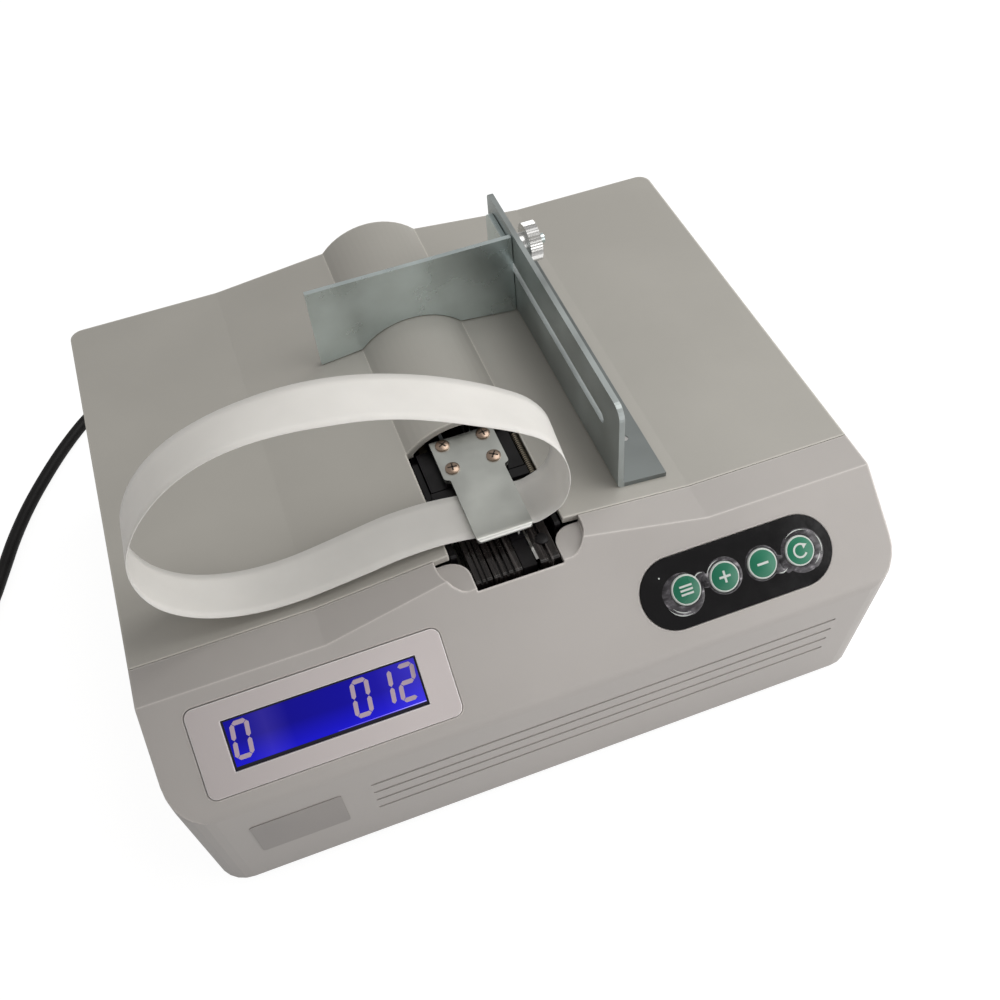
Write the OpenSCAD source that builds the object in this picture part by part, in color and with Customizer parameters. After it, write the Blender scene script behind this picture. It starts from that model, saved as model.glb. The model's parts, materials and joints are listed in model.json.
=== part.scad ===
// Desktop banknote strapping machine for paper tape.
// X runs to the right, Y to the back and Z up. The origin is on the table, under the middle of the housing.

/* [Housing] */
// Width of the housing across its sides
body_w = 260; // [250:1:300]
// Depth of the housing from its front fold to its rear wall
body_d = 220; // [214:1:260]
// Height of the lid's flat top above the housing's lower edge
body_h = 92; // [90:1:110]
// Thickness of the moulded housing walls
wall = 3; // [2:0.25:4]
// Radius of the upright front corners
corner_r = 12; // [6:1:18]
// Radius of the upright rear corners
rear_r = 5; // [2:1:10]
// Radius of the fold between the sloped panel and the front face
fold_r = 5; // [2:0.5:8]
// Distance that the front face leans back at its foot
front_lean = 8; // [0:1:12]
// Depth of the fixed strip between the lid and the sloped panel
deck_strip = 15; // [12:0.5:18]
// Length of the sloped panel, measured down the slope
panel_len = 41.5; // [40:0.5:50]
// Tilt of the sloped panel from level
panel_tilt = 39.5; // [30:0.5:48]

/* [Lid] */
// Thickness of the lid
lid_t = 2.5; // [2:0.1:3]
// Height of the lid's skirt
skirt_h = 12; // [8:0.5:16]
// Half width of the raised middle, where its gentle ramps begin
ramp_out = 68; // [64:1:90]
// Rise of the gentle ramps
ramp_rise = 5; // [4:0.25:7]
// Half width of the round bump along the middle
bump_half = 20.5; // [20.5:0.25:23]
// Rise of the round bump above the ramps
bump_rise = 9; // [8.5:0.25:12]
// Length of the head opening behind the lid's front edge
head_open = 49; // [48:0.5:56]
// Outer diameter of the hinge knuckles
knuckle_d = 8; // [7:0.5:10]
// Diameter of the hinge pins
hinge_pin_d = 3; // [2:0.25:4]

/* [Guides on the lid] */
// Distance from the middle of the lid to the guide rail
guide_x = 44; // [38:0.5:48]
// Length of the guide rail
guide_len = 130; // [120:1:140]
// Height of the guide rail above the lid's flat top
guide_h = 40.5; // [34:0.5:50]
// Width of the guide rail's foot
guide_foot = 18.5; // [12:0.5:20]
// Thickness of the guide rail and stop plate
sheet_t = 2; // [1.5:0.25:3]
// Height of the slot in the guide rail
slot_h = 4.6; // [4.6:0.1:6]
// Height of the slot's middle above the lid's flat top
slot_z = 24; // [20:0.5:26]
// Width of the stop plate
stop_w = 81; // [70:1:84]
// Height of the stop plate above the lid's flat top
stop_h = 39; // [34:0.5:48]
// Distance from the lid's front edge to the stop plate
stop_back = 108; // [100:1:112]
// Diameter of the clamp stud
stud_d = 4; // [3:0.1:4]
// Diameter of the knurled thumb nut
nut_d = 16; // [12:0.5:20]

/* [Strapping head] */
// Width of the paper tape
tape_w = 20; // [18:0.5:21]
// Gap between the two side plates of the head
head_gap = 35.6; // [35:0.1:36]
// Thickness of the head's side plates
head_t = 2; // [1.5:0.1:2.4]
// Width of the anvil plate's front part
anvil_w = 20; // [16:0.5:22]
// Thickness of the anvil plate
anvil_t = 1.8; // [1.2:0.1:2]
// Travel of the anvil when it lets the band go
anvil_travel = 23; // [21:0.5:24]
// Lift of the press blocks
press_lift = 3.6; // [2.5:0.1:4]
// Turn of the camshaft over the whole lift
cam_sweep = 150; // [120:5:160]
// Base radius of the cams
cam_r = 12; // [10:0.5:13]
// Diameter of the camshaft
camshaft_d = 8; // [6:0.5:9]
// Diameter of the two slide rods
rod_d = 4; // [3:0.1:4.4]

/* [Tape feed] */
// Outer diameter of the paper roll
roll_d = 72; // [60:1:74]
// Outer diameter of the cardboard core
core_d = 32; // [28:1:36]
// Diameter of the fixed spindle
spindle_d = 10; // [8:0.5:12]
// Diameter of the driven feed roller
feed_d = 20; // [16:0.5:21]
// Diameter of the pinch roller
pinch_d = 14; // [10:0.5:14]
// Teeth on the feed gear
gear_teeth = 24; // [20:1:28]
// Teeth on the motor pinion
pinion_teeth = 12; // [12:1:14]
// Tooth size of the feed gears
gear_module = 1; // [0.8:0.1:1]

/* [Panel] */
// Width of the display bezel
bezel_w = 85; // [82:0.5:90]
// Height of the display bezel
bezel_h = 30; // [27:0.5:31]
// Width of the display window
window_w = 65; // [60:0.5:66]
// Height of the display window
window_h = 17; // [14:0.5:18]
// Width of the black key plate
keys_w = 71.5; // [70:0.5:73]
// Height of the black key plate
keys_h = 25; // [22:0.5:28]
// Distance between neighbouring buttons
button_pitch = 14.4; // [14:0.1:14.6]
// Diameter of a button
button_d = 10.8; // [9:0.2:11.4]
// Travel of a button
button_travel = 1; // [0.5:0.1:1.2]
// Number of grooves across the front face
groove_count = 4; // [2:1:6]
// Length of the front grooves
groove_len = 176; // [120:1:190]
// Distance between neighbouring front grooves
groove_pitch = 7.8; // [6:0.1:9]

/* [Feet and cord] */
// Height of the rubber feet below the housing
foot_h = 5; // [4:0.5:8]
// Diameter of the rubber feet
foot_d = 18; // [14:1:22]
// Thickness of the steel base plate
base_t = 2; // [1.5:0.25:3]
// Diameter of the mains cord
cord_d = 6; // [5:0.1:6]
// Length of the strain relief behind the rear wall
relief_len = 36; // [24:1:40]

/* [Hidden] */

$fn = 48;
gap = 0.3;
fit = 0.06;
half_w = body_w / 2;
rear_y = body_d / 2;
front_y = -rear_y;
base_z = foot_h;
floor_z = base_z + base_t;
lid_z = base_z + body_h;
panel_drop = panel_len * sin(panel_tilt);
crease_y = front_y + panel_len * cos(panel_tilt);
seam_y = crease_y + deck_strip;
rim_z = lid_z - skirt_h;

// Cross-section of the raised middle
bump_r = (bump_half * bump_half + bump_rise * bump_rise) / (2 * bump_rise);
bump_z = lid_z + ramp_rise + bump_rise - bump_r;

// Strapping head: the tape lies just above the ramps' crest, under the anvil
strap_t = 0.5;
tape_y = seam_y + 2.6;
tape_end_y = tape_y + tape_w;
strap_z = lid_z + ramp_rise + gap;
anvil_z = strap_z + strap_t + gap;
press_z = strap_z - press_lift - 0.4;
press_head_h = 14;
head_x = head_gap / 2;
head_out_x = head_x + head_t;
stem_d = 8;
stem_y = tape_y - 3.8 - stem_d / 2;
press_y = stem_y - stem_d / 2 - 2.5;
press_end_y = tape_end_y + 1.6;
head_y = press_y - 1;
bar_y = press_end_y + 0.4;
bar_t = 4;
carriage_y = bar_y + bar_t + 0.5;
carriage_len = 19;
carriage_end_y = carriage_y + carriage_len;
rear_bar_y = carriage_end_y + anvil_travel + 9;
rod_x = head_x - 3.8;
rod_z = anvil_z - 5.6;
plunger_z = rod_z - 4.5;
plunger_d = 8;
solenoid_y = rear_bar_y + bar_t + 3;
solenoid_len = 38;
solenoid_w = 24;
solenoid_h = 18;
head_end_y = solenoid_y + solenoid_len + 2;
cam_z = press_z - 54;
cam_w = 5;
follower_z = cam_z + cam_r + 0.4;
guide_block_z = press_z - 38;
guide_block_h = 12;

// Press blocks across the head: [left edge, right edge]
press_out_x = head_x - 2.9;
left_clamp_x = [-press_out_x, -9.2];
heater_x = [-8.6, 1.4];
nozzle_x = [1.8, 6.7];
blade_x = [7, 8];
right_clamp_x = [8, press_out_x];
tape_slot_x = 5.4;
run_t = 0.4;

// Tape feed
nip_x = -30;
nip_z = press_z - 24.3;
feed_z = nip_z - run_t / 2 - gap - feed_d / 2;
pinch_z = nip_z + run_t / 2 + gap + pinch_d / 2;
pivot_x = nip_x - 14;
pivot_z = pinch_z + 2.5;
frame_y = tape_y - 5.8;
frame_end_y = tape_end_y + 5.8;
frame_t = 2;
frame_x = nip_x - 18;
gear_r = gear_module * gear_teeth / 2;
pinion_r = gear_module * pinion_teeth / 2;
gear_y = frame_end_y + 1;
gear_w = 5;
pinion_z = feed_z - gear_r - pinion_r - 0.15;
motor_plate_y = gear_y + gear_w + 2;
motor_d = 32;
roll_x = nip_x - (feed_d + roll_d) / 2 - 2;
roll_z = floor_z + 5.5 + roll_d / 2;
hub_r = core_d / 2 - 2 - 0.2;

// Panel: distances down the slope from the crease to the middle of each part
display_x = -half_w + 55.6;
display_down = panel_len / 2 - 0.1;
keys_x = half_w - 57.8;
keys_down = panel_len / 2 + 0.2;
keys_shift = 2;
window_x = display_x + 0.2;
button_x = keys_x + keys_shift - 1.5 * button_pitch;
plate_t = 1.5;
seat_depth = 1;
board_depth = 9;

// Hinge behind the rear wall, at the seam between lid and housing
hinge_y = rear_y + knuckle_d / 2 + 0.4;
hinge_z = rim_z + gap / 2;
hinge_x = [-80, 80];
knuckle_w = 9;

// Guides
guide_y = seam_y + 7;
guide_end_y = guide_y + guide_len;
stop_y = seam_y + stop_back;
stud_y = stop_y + 13;
stud_z = lid_z + slot_z;
stop_x = guide_x - gap;

// Mains cord: its route is chosen by hand, and lies on the table from the fourth point on
relief_x = -100;
relief_z = 24;
cord_r = cord_d / 2;
cord_start = [relief_x, rear_y + relief_len, relief_z];
cord_route = [
    [-100, 153, 24], [-102, 164, 20], [-109, 173, 13], [-121, 176, 6],
    [-135, 172, cord_r], [-149, 161, cord_r], [-161, 147, cord_r], [-172, 131, cord_r],
    [-182, 114, cord_r], [-190, 97, cord_r], [-196, 81, cord_r], [-202, 65, cord_r],
    [-209, 50, cord_r], [-214.5, 40, cord_r], [-216, 33, cord_r]
];
coil_x = -256.5;
coil_y = 20;
coil_pitch = 6.6;
coil_out_r = 40.5;
coil_turns = 2.5;
coil_rings = 24;
coil_in_r = coil_out_r - coil_pitch * coil_turns;
plug_y = 96;
plug_z = 7;
tail_route = [
    [-297, 33, cord_r + coil_pitch], [-297, 44, 7], [-297, 55, 4], [-296, 65, cord_r], [-294, 75, 4.5],
    [-292, 83, 6.6], [-292, 89, plug_z]
];

function unit(v) = v / norm(v);
function ramp(x) = ramp_rise * max(0, min(1, (ramp_out - abs(x)) / (ramp_out - bump_half)));
function deck(x) = lid_z + ramp(x);

// Points of an arc that is tangent to both sides of the corner p
function fillet(p, a, b, r, n) =
    let (u = unit(a - p), v = unit(b - p), half = acos(u * v) / 2)
    let (c = p + unit(u + v) * r / sin(half))
    let (s = p + u * r / tan(half) - c, e = p + v * r / tan(half) - c)
    let (a0 = atan2(s[1], s[0]), turn = (atan2(e[1], e[0]) - a0 + 540) % 360 - 180)
    [for (i = [0:n]) c + r * [cos(a0 + turn * i / n), sin(a0 + turn * i / n)]];

// Outline with the radius radii[i] at its point i
function rounded(pts, radii, n = 6) = [
    for (i = [0:len(pts) - 1])
        let (before = pts[(i + len(pts) - 1) % len(pts)], after = pts[(i + 1) % len(pts)])
        each radii[i] > 0 ? fillet(pts[i], before, after, radii[i], n) : [pts[i]]
];

// Extrudes an outline drawn in Y and Z along X
module along_x(x0, x1) {
    translate([x0, 0, 0]) rotate([90, 0, 90]) linear_extrude(x1 - x0) children();
}

// Extrudes an outline drawn in X and Z along Y
module along_y(y0, y1) {
    translate([0, y1, 0]) rotate([90, 0, 0]) linear_extrude(y1 - y0) children();
}

module block(x, y, z) {
    translate([x[0], y[0], z[0]]) cube([x[1] - x[0], y[1] - y[0], z[1] - z[0]]);
}

module pin_x(x0, x1, y, z, d) {
    translate([x0, y, z]) rotate([0, 90, 0]) cylinder(h = x1 - x0, d = d);
}

module pin_y(y0, y1, x, z, d) {
    translate([x, y0, z]) rotate([-90, 0, 0]) cylinder(h = y1 - y0, d = d);
}

module slot_2d(w, h) {
    square([w - h, h], center = true);
    for (side = [-1, 1]) translate([side * (w - h) / 2, 0]) circle(d = h);
}

module rounded_rect(w, h, r) {
    square([w - 2 * r, h], center = true);
    square([w, h - 2 * r], center = true);
    for (x = [-1, 1], y = [-1, 1]) translate([x * (w / 2 - r), y * (h / 2 - r)]) circle(r);
}

// Places its children on the sloped panel: x along the machine, z out of the panel
module on_panel(x, down) {
    translate([x, crease_y, lid_z]) rotate([panel_tilt, 0, 0]) translate([0, -down, 0]) children();
}

// ---- Housing ----

module plan(inset) {
    half = half_w - inset;
    back = rear_y - inset;
    front = front_y + inset;
    polygon(rounded([[-half, front], [half, front], [half, back], [-half, back]],
        [corner_r - inset / 2, corner_r - inset / 2, rear_r - inset / 2, rear_r - inset / 2]));
}

// The plan as a solid: below the fold its front part leans back with the front face
module plan_solid(inset) {
    fold_z = lid_z - panel_drop;
    face_lean = atan(front_lean / (fold_z - base_z));
    intersection() {
        linear_extrude(lid_z + 60) plan(inset);
        union() {
            block([-half_w, half_w], [0, rear_y], [0, lid_z + 60]);
            block([-half_w, half_w], [front_y - 1, 1], [fold_z, lid_z + 60]);
        }
    }
    intersection() {
        translate([0, front_y, fold_z]) rotate([face_lean, 0, 0]) translate([0, -front_y, -fold_z - 20])
            linear_extrude(fold_z + 40) plan(inset);
        block([-half_w, half_w], [front_y - 1, 0.01], [0, fold_z]);
    }
}

// Side view of the outside, open above the rim behind the seam
module side_outline() {
    slope_top = lid_z + deck_strip * tan(panel_tilt);
    polygon(rounded([[rear_y, base_z], [rear_y, rim_z], [seam_y, rim_z], [seam_y, slope_top],
        [front_y, lid_z - panel_drop], [front_y + front_lean, base_z]], [0, 0, 0, 0, fold_r, 0]));
}

// Side view of the hollow, which runs out through the open top and bottom
module side_hollow() {
    shift = wall / cos(panel_tilt);
    slope_top = lid_z + deck_strip * tan(panel_tilt);
    polygon(rounded([[rear_y - wall, 0], [rear_y - wall, lid_z + 40], [seam_y, lid_z + 40],
        [seam_y, slope_top - shift], [front_y + wall, lid_z - panel_drop - wall * 0.35],
        [front_y + front_lean + wall, base_z], [front_y + front_lean + wall, 0]],
        [0, 0, 0, 0, fold_r - wall / 2, 0, 0]));
}

// Front view of everything under the deck's ramps
module deck_outline(drop) {
    polygon([[-half_w - 1, -1], [half_w + 1, -1], [half_w + 1, lid_z - drop], [ramp_out, lid_z - drop],
        [bump_half, lid_z + ramp_rise - drop], [-bump_half, lid_z + ramp_rise - drop],
        [-ramp_out, lid_z - drop], [-half_w - 1, lid_z - drop]]);
}

recess_half = 26;
recess_depth = deck_strip - 0.8;
shelf_z = lid_z + 1.2;
shelf_t = 2.5;
boss_d = 9;
boss_h = 22;

function boss_places() = [
    for (x = [-1, 1], y = [front_y + front_lean + wall + 22, rear_y - wall - 25])
        [x * (half_w - wall - boss_d / 2 + 1), y]
];

// Rounded notch in the deck strip, in front of the press blocks
module recess(z0, z1, inset) {
    half = recess_half - inset;
    depth = recess_depth - inset;
    translate([0, 0, z0]) linear_extrude(z1 - z0)
        polygon(rounded([[-half, seam_y + 1], [-half, seam_y - depth], [half, seam_y - depth],
            [half, seam_y + 1]], [0, 11 - inset, 11 - inset, 0]));
}

// Wall around the notch, down to the level of its ears
module recess_wall() {
    difference() {
        recess(shelf_z - shelf_t, lid_z + 20, -2);
        recess(0, lid_z + 40, 0);
        block([-half_w, half_w], [seam_y, seam_y + 10], [0, lid_z + 40]);
    }
}

// Two rounded ears inside the notch, on either side of the press blocks
module recess_ears() {
    inner = press_out_x + 0.5;
    intersection() {
        recess(shelf_z - shelf_t, shelf_z, -1);
        for (side = [0, 1]) mirror([side, 0, 0]) translate([0, 0, shelf_z - shelf_t])
            linear_extrude(shelf_t) polygon(rounded([[inner, crease_y - 5], [recess_half + 2, crease_y - 5],
                [recess_half + 2, seam_y - gap], [inner, seam_y - gap]], [0, 0, 0, 7]));
    }
}

module panel_boss(x, down) {
    on_panel(x, down) translate([0, 0, -board_depth]) difference() {
        cylinder(h = board_depth - wall + 0.6, d = 5, $fn = 24);
        translate([0, 0, -1]) cylinder(h = 5, d = 2, $fn = 24);
    }
}

board_hole_w = 37;
board_hole_h = 15;
module case_shell() {
    color([0.78, 0.77, 0.72]) {
        difference() {
            intersection() {
                along_x(-half_w, half_w) side_outline();
                along_y(front_y - 1, rear_y + 1) deck_outline(0);
                plan_solid(0);
            }
            intersection() {
                along_x(-half_w + wall, half_w - wall) side_hollow();
                union() {
                    along_y(front_y - 1, rear_y + 1) deck_outline(wall);
                    block([-half_w, half_w], [seam_y, rear_y], [0, lid_z + 40]);
                }
                plan_solid(wall);
            }
            recess(lid_z - 16, lid_z + 40, 0);
            on_panel(display_x, display_down) translate([0, 0, -seat_depth])
                linear_extrude(10) rounded_rect(bezel_w + 2 * gap, bezel_h + 2 * gap, 3 + gap);
            on_panel(window_x, display_down) translate([0, 0, -8])
                linear_extrude(16) rounded_rect(window_w + 6, window_h + 6, 2);
            on_panel(keys_x, keys_down) translate([0, 0, -seat_depth])
                linear_extrude(10) slot_2d(keys_w + 2 * gap, keys_h + 2 * gap);
            on_panel(keys_x, keys_down) translate([0, 0, -8])
                linear_extrude(16) slot_2d(keys_w - 4, keys_h - 4);
            front_grooves();
            relief_hole();
            switch_cutout();
        }
        difference() {
            for (p = boss_places()) translate([p[0], p[1], floor_z]) cylinder(h = boss_h, d = boss_d);
            for (p = boss_places()) translate([p[0], p[1], floor_z - 1]) cylinder(h = boss_h - 3, d = 2.8);
        }
        intersection() {
            union() {
                recess_wall();
                recess_ears();
            }
            along_x(-half_w, half_w) side_outline();
            along_y(front_y - 1, rear_y + 1) deck_outline(0.4);
        }
        for (x = [-1, 1], y = [-1, 1]) {
            panel_boss(window_x + x * board_hole_w, display_down + y * board_hole_h);
            panel_boss(keys_x + x * (keys_w / 2 - 2), keys_down + y * 16.5);
        }
        hinge_knuckles([-1, 1], rim_z, -1);
    }
}

groove_x = 20;
groove_top_z = lid_z - panel_drop - 18;
module front_grooves() {
    face_lean = atan(front_lean / (lid_z - panel_drop - base_z));
    for (i = [0:groove_count - 1])
        translate([groove_x, front_y, lid_z - panel_drop]) rotate([face_lean, 0, 0])
            translate([0, 0, groove_top_z - lid_z + panel_drop - i * groove_pitch])
                rotate([-90, 0, 0]) translate([0, 0, -0.7])
                    linear_extrude(1.4) slot_2d(groove_len, 1.4);
}

// Hinge knuckles: the ones on the housing are outer, the ones on the lid are inner
module hinge_knuckles(places, seam, up) {
    for (x = hinge_x, place = places) {
        x0 = x + place * (knuckle_w + gap) - knuckle_w / 2;
        difference() {
            union() {
                pin_x(x0, x0 + knuckle_w, hinge_y, hinge_z, knuckle_d);
                block([x0, x0 + knuckle_w], [rear_y - 0.5, hinge_y],
                    up > 0 ? [hinge_z + gap / 2, hinge_z + knuckle_d / 2] : [hinge_z - knuckle_d / 2, hinge_z - gap / 2]);
            }
            pin_x(x0 - 1, x0 + knuckle_w + 1, hinge_y, hinge_z, hinge_pin_d + (up > 0 ? 2 * fit : 0));
        }
    }
}

module hinge_pins() {
    color([0.62, 0.63, 0.65])
        for (x = hinge_x)
            pin_x(x - 1.5 * knuckle_w - gap, x + 1.5 * knuckle_w + gap, hinge_y, hinge_z, hinge_pin_d);
}

module base_plate() {
    inset = wall + gap;
    color([0.55, 0.56, 0.57]) difference() {
        translate([0, 0, base_z]) linear_extrude(base_t)
            polygon(rounded([[-half_w + inset, front_y + front_lean + inset],
                [half_w - inset, front_y + front_lean + inset], [half_w - inset, rear_y - inset],
                [-half_w + inset, rear_y - inset]], [corner_r - 1, corner_r - 1, rear_r, rear_r]));
        for (p = boss_places()) translate([p[0], p[1], 0]) cylinder(h = 20, d = 3.4);
        for (i = [-4:4], y = [-15, 75]) translate([i * 12, y, 0]) linear_extrude(20)
            rotate(90) slot_2d(28, 3.5);
        for (p = foot_places()) translate([p[0], p[1], 0]) cylinder(h = 20, d = 3.4);
    }
}

function foot_places() = [
    for (x = [-1, 1], y = [-1, 1])
        [x * (half_w - wall - foot_d / 2 - 12), y * (rear_y - front_lean - wall - foot_d / 2 - 3)]
];

module feet() {
    color([0.12, 0.12, 0.12])
        for (p = foot_places()) translate([p[0], p[1], 0]) cylinder(h = foot_h, d = foot_d);
}

// Screws that hold the base plate to the housing, and the studs of the feet with their nuts
module case_screws() {
    color([0.7, 0.7, 0.72]) {
        for (p = boss_places()) translate([p[0], p[1], 0]) {
            translate([0, 0, base_z - 1.6]) cylinder(h = 1.6, d = 6);
            translate([0, 0, base_z - 0.1]) cylinder(h = base_t + 12, d = 2.8);
        }
        for (p = foot_places()) translate([p[0], p[1], 0]) {
            translate([0, 0, foot_h]) cylinder(h = base_t + 3.4, d = 3);
            translate([0, 0, base_z + base_t]) cylinder(h = 2.4, d = 6.4, $fn = 6);
        }
    }
}

// ---- Lid and what it carries ----

module lid_section(drop, bump) {
    rise = bump ? [for (i = [0:16]) let (x = bump_half - drop + 2 * (drop - bump_half) * i / 16)
        [x, bump_z + sqrt(pow(bump_r - drop, 2) - x * x)]] : [];
    polygon(concat([[-half_w - 1, -1], [half_w + 1, -1], [half_w + 1, lid_z - drop],
        [ramp_out, lid_z - drop], [bump_half - (bump ? drop : 0), lid_z + ramp_rise - drop]], rise,
        [[-bump_half + (bump ? drop : 0), lid_z + ramp_rise - drop], [-ramp_out, lid_z - drop],
        [-half_w - 1, lid_z - drop]]));
}

module lid() {
    front = seam_y + gap;
    color([0.74, 0.74, 0.69]) {
        difference() {
            intersection() {
                along_y(front, rear_y) lid_section(0, true);
                linear_extrude(lid_z + 60) plan(0);
                block([-half_w, half_w], [front, rear_y], [rim_z + gap, lid_z + 60]);
            }
            intersection() {
                along_y(front - 1, rear_y) lid_section(lid_t, true);
                linear_extrude(lid_z + 60) plan(lid_t);
            }
            block([-bump_half, bump_half], [front - 1, seam_y + head_open], [rim_z, lid_z + 60]);
            for (y = guide_screw_places()) translate([guide_x + sheet_t + guide_foot / 2, y, rim_z])
                cylinder(h = 40, d = 3.4);
        }
        for (x = [-ramp_out - 14, ramp_out + 14])
            block([x - 1, x + 1], [front, rear_y - lid_t + 1], [lid_z - lid_t - 4, lid_z - lid_t + 0.5]);
        hinge_knuckles([0], rim_z, 1);
    }
}

function guide_screw_places() = [guide_y + 20, guide_y + guide_len / 2, guide_end_y - 15];

// Angle with its foot on the ramp and a long slot in its upright wall
module guide_rail() {
    foot_end = guide_x + guide_foot;
    color([0.66, 0.7, 0.72]) difference() {
        intersection() {
            along_y(guide_y, guide_end_y)
                polygon(rounded([[guide_x, deck(guide_x)], [foot_end, deck(foot_end)],
                    [foot_end, deck(foot_end) + sheet_t],
                    [guide_x + sheet_t, deck(guide_x + sheet_t) + sheet_t],
                    [guide_x + sheet_t, lid_z + guide_h], [guide_x, lid_z + guide_h]],
                    [1.8, 0, 0, 1.2, 0, 0]));
            along_x(guide_x - 1, foot_end + 1)
                polygon(rounded([[guide_y, lid_z - 1], [guide_end_y, lid_z - 1],
                    [guide_end_y, lid_z + guide_h], [guide_y, lid_z + guide_h]], [0, 0, 3, 5]));
        }
        along_x(guide_x - 1, guide_x + sheet_t + 1)
            translate([(guide_y + 13 + guide_end_y - 8) / 2, stud_z])
                slot_2d(guide_len - 21, slot_h);
        for (y = guide_screw_places()) translate([guide_x + sheet_t + guide_foot / 2, y, rim_z])
            cylinder(h = 40, d = 2.8);
    }
}

module guide_screws() {
    x = guide_x + sheet_t + guide_foot / 2;
    top = deck(x) + sheet_t - 0.4;
    color([0.7, 0.7, 0.72])
        for (y = guide_screw_places()) translate([x, y, 0]) {
            translate([0, 0, deck(x) - lid_t - 2.2]) cylinder(h = 2.2 - 0.4, d = 6);
            translate([0, 0, deck(x) - lid_t - 1]) cylinder(h = top - deck(x) + lid_t + 1, d = 2.8);
        }
}

// Plate across the lid, notched over the bump, with a tab bent back along the guide rail
module stop_plate() {
    left = stop_x - stop_w;
    rise = 0.5;
    arch = [for (i = [0:12]) let (x = -bump_half + 2 * bump_half * i / 12)
        [x, bump_z + sqrt(pow(bump_r + rise, 2) - x * x)]];
    color([0.68, 0.71, 0.73]) difference() {
        union() {
            along_y(stop_y, stop_y + sheet_t)
                polygon(concat([[left, lid_z + stop_h], [left, deck(left) + rise]], arch,
                    [[stop_x, deck(stop_x) + rise], [stop_x, lid_z + stop_h]]));
            along_x(stop_x - sheet_t, stop_x)
                polygon(rounded([[stop_y, stud_z - 11], [stop_y + 25, stud_z - 11],
                    [stop_y + 25, stud_z + 11], [stop_y, stud_z + 11]], [0, 4, 4, 0]));
        }
        pin_x(stop_x - sheet_t - 1, stop_x + 1, stud_y, stud_z, stud_d);
    }
    color([0.75, 0.76, 0.78]) {
        pin_x(stop_x - sheet_t - 2, stop_x - sheet_t, stud_y, stud_z, stud_d + 4);
        pin_x(stop_x - sheet_t - 0.5, nut_x + nut_hub + nut_t + 3, stud_y, stud_z, stud_d);
    }
}

nut_x = guide_x + sheet_t + gap;
nut_hub = 7;
nut_t = 5;

module thumb_nut() {
    teeth = 44;
    color([0.82, 0.83, 0.84]) difference() {
        union() {
            pin_x(nut_x, nut_x + nut_hub + 0.5, stud_y, stud_z, 9);
            along_x(nut_x + nut_hub, nut_x + nut_hub + nut_t) translate([stud_y, stud_z])
                polygon([for (i = [0:2 * teeth - 1])
                    (nut_d / 2 - 0.5 * (i % 2)) * [cos(i * 180 / teeth), sin(i * 180 / teeth)]]);
        }
        pin_x(nut_x - 1, nut_x + nut_hub + nut_t + 1, stud_y, stud_z, stud_d + 2 * fit);
    }
}

// ---- Panel ----

module display_bezel() {
    color([0.83, 0.79, 0.78]) on_panel(display_x, display_down) translate([0, 0, -seat_depth]) difference() {
        linear_extrude(plate_t) rounded_rect(bezel_w, bezel_h, 3);
        translate([window_x - display_x, 0, -1]) linear_extrude(plate_t + 2)
            square([window_w, window_h], center = true);
    }
}

module display_glass() {
    color([0.1, 0.1, 0.75]) on_panel(window_x, display_down) translate([0, 0, -seat_depth - 1.2])
        linear_extrude(1.2) square([window_w + 4, window_h + 4], center = true);
}

// Display frame on its circuit board
module display_module() {
    color([0.1, 0.12, 0.1]) on_panel(window_x, display_down) {
        translate([0, 0, -board_depth]) linear_extrude(board_depth - seat_depth - 1.2)
            square([window_w + 5, window_h + 5], center = true);
        translate([0, 0, -board_depth - 1.6]) difference() {
            linear_extrude(1.6) square([80, 36], center = true);
            for (x = [-1, 1], y = [-1, 1]) translate([x * board_hole_w, y * board_hole_h, -1])
                cylinder(h = 4, d = 2.4, $fn = 24);
        }
    }
}

module key_plate() {
    color([0.05, 0.05, 0.05]) on_panel(keys_x, keys_down) translate([0, 0, -seat_depth]) difference() {
        linear_extrude(plate_t) slot_2d(keys_w, keys_h);
        for (i = [0:3]) translate([keys_shift + (i - 1.5) * button_pitch, 0, -1])
            cylinder(h = plate_t + 2, d = button_d + 2 * gap);
    }
}

module key_board() {
    color([0.1, 0.35, 0.15]) on_panel(keys_x, keys_down) translate([0, 0, -board_depth - 1.6]) {
        difference() {
            linear_extrude(1.6) square([keys_w + 4, 38], center = true);
            for (x = [-1, 1], y = [-1, 1]) translate([x * (keys_w / 2 - 2), y * 16.5, -1])
                cylinder(h = 4, d = 2.4, $fn = 24);
        }
        for (i = [0:3]) translate([keys_shift + (i - 1.5) * button_pitch, 0, 1.5])
            linear_extrude(board_depth - 5.9) square(6, center = true);
    }
}

key_foot_z = -board_depth + 3 + button_travel + gap;
module button(i) {
    flange_z = -seat_depth - gap - 1.2;
    color([0.12, 0.5, 0.35]) on_panel(button_x + i * button_pitch, keys_down) rotate_extrude()
        polygon([[0, key_foot_z], [1.5, key_foot_z], [1.5, flange_z],
            [button_d / 2 + 0.9, flange_z], [button_d / 2 + 0.9, flange_z + 1.2],
            [button_d / 2, flange_z + 1.2], [button_d / 2, 0.9], [button_d / 2 - 0.5, 1.4], [0, 1.4]]);
}

// ---- Strapping head ----

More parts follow.
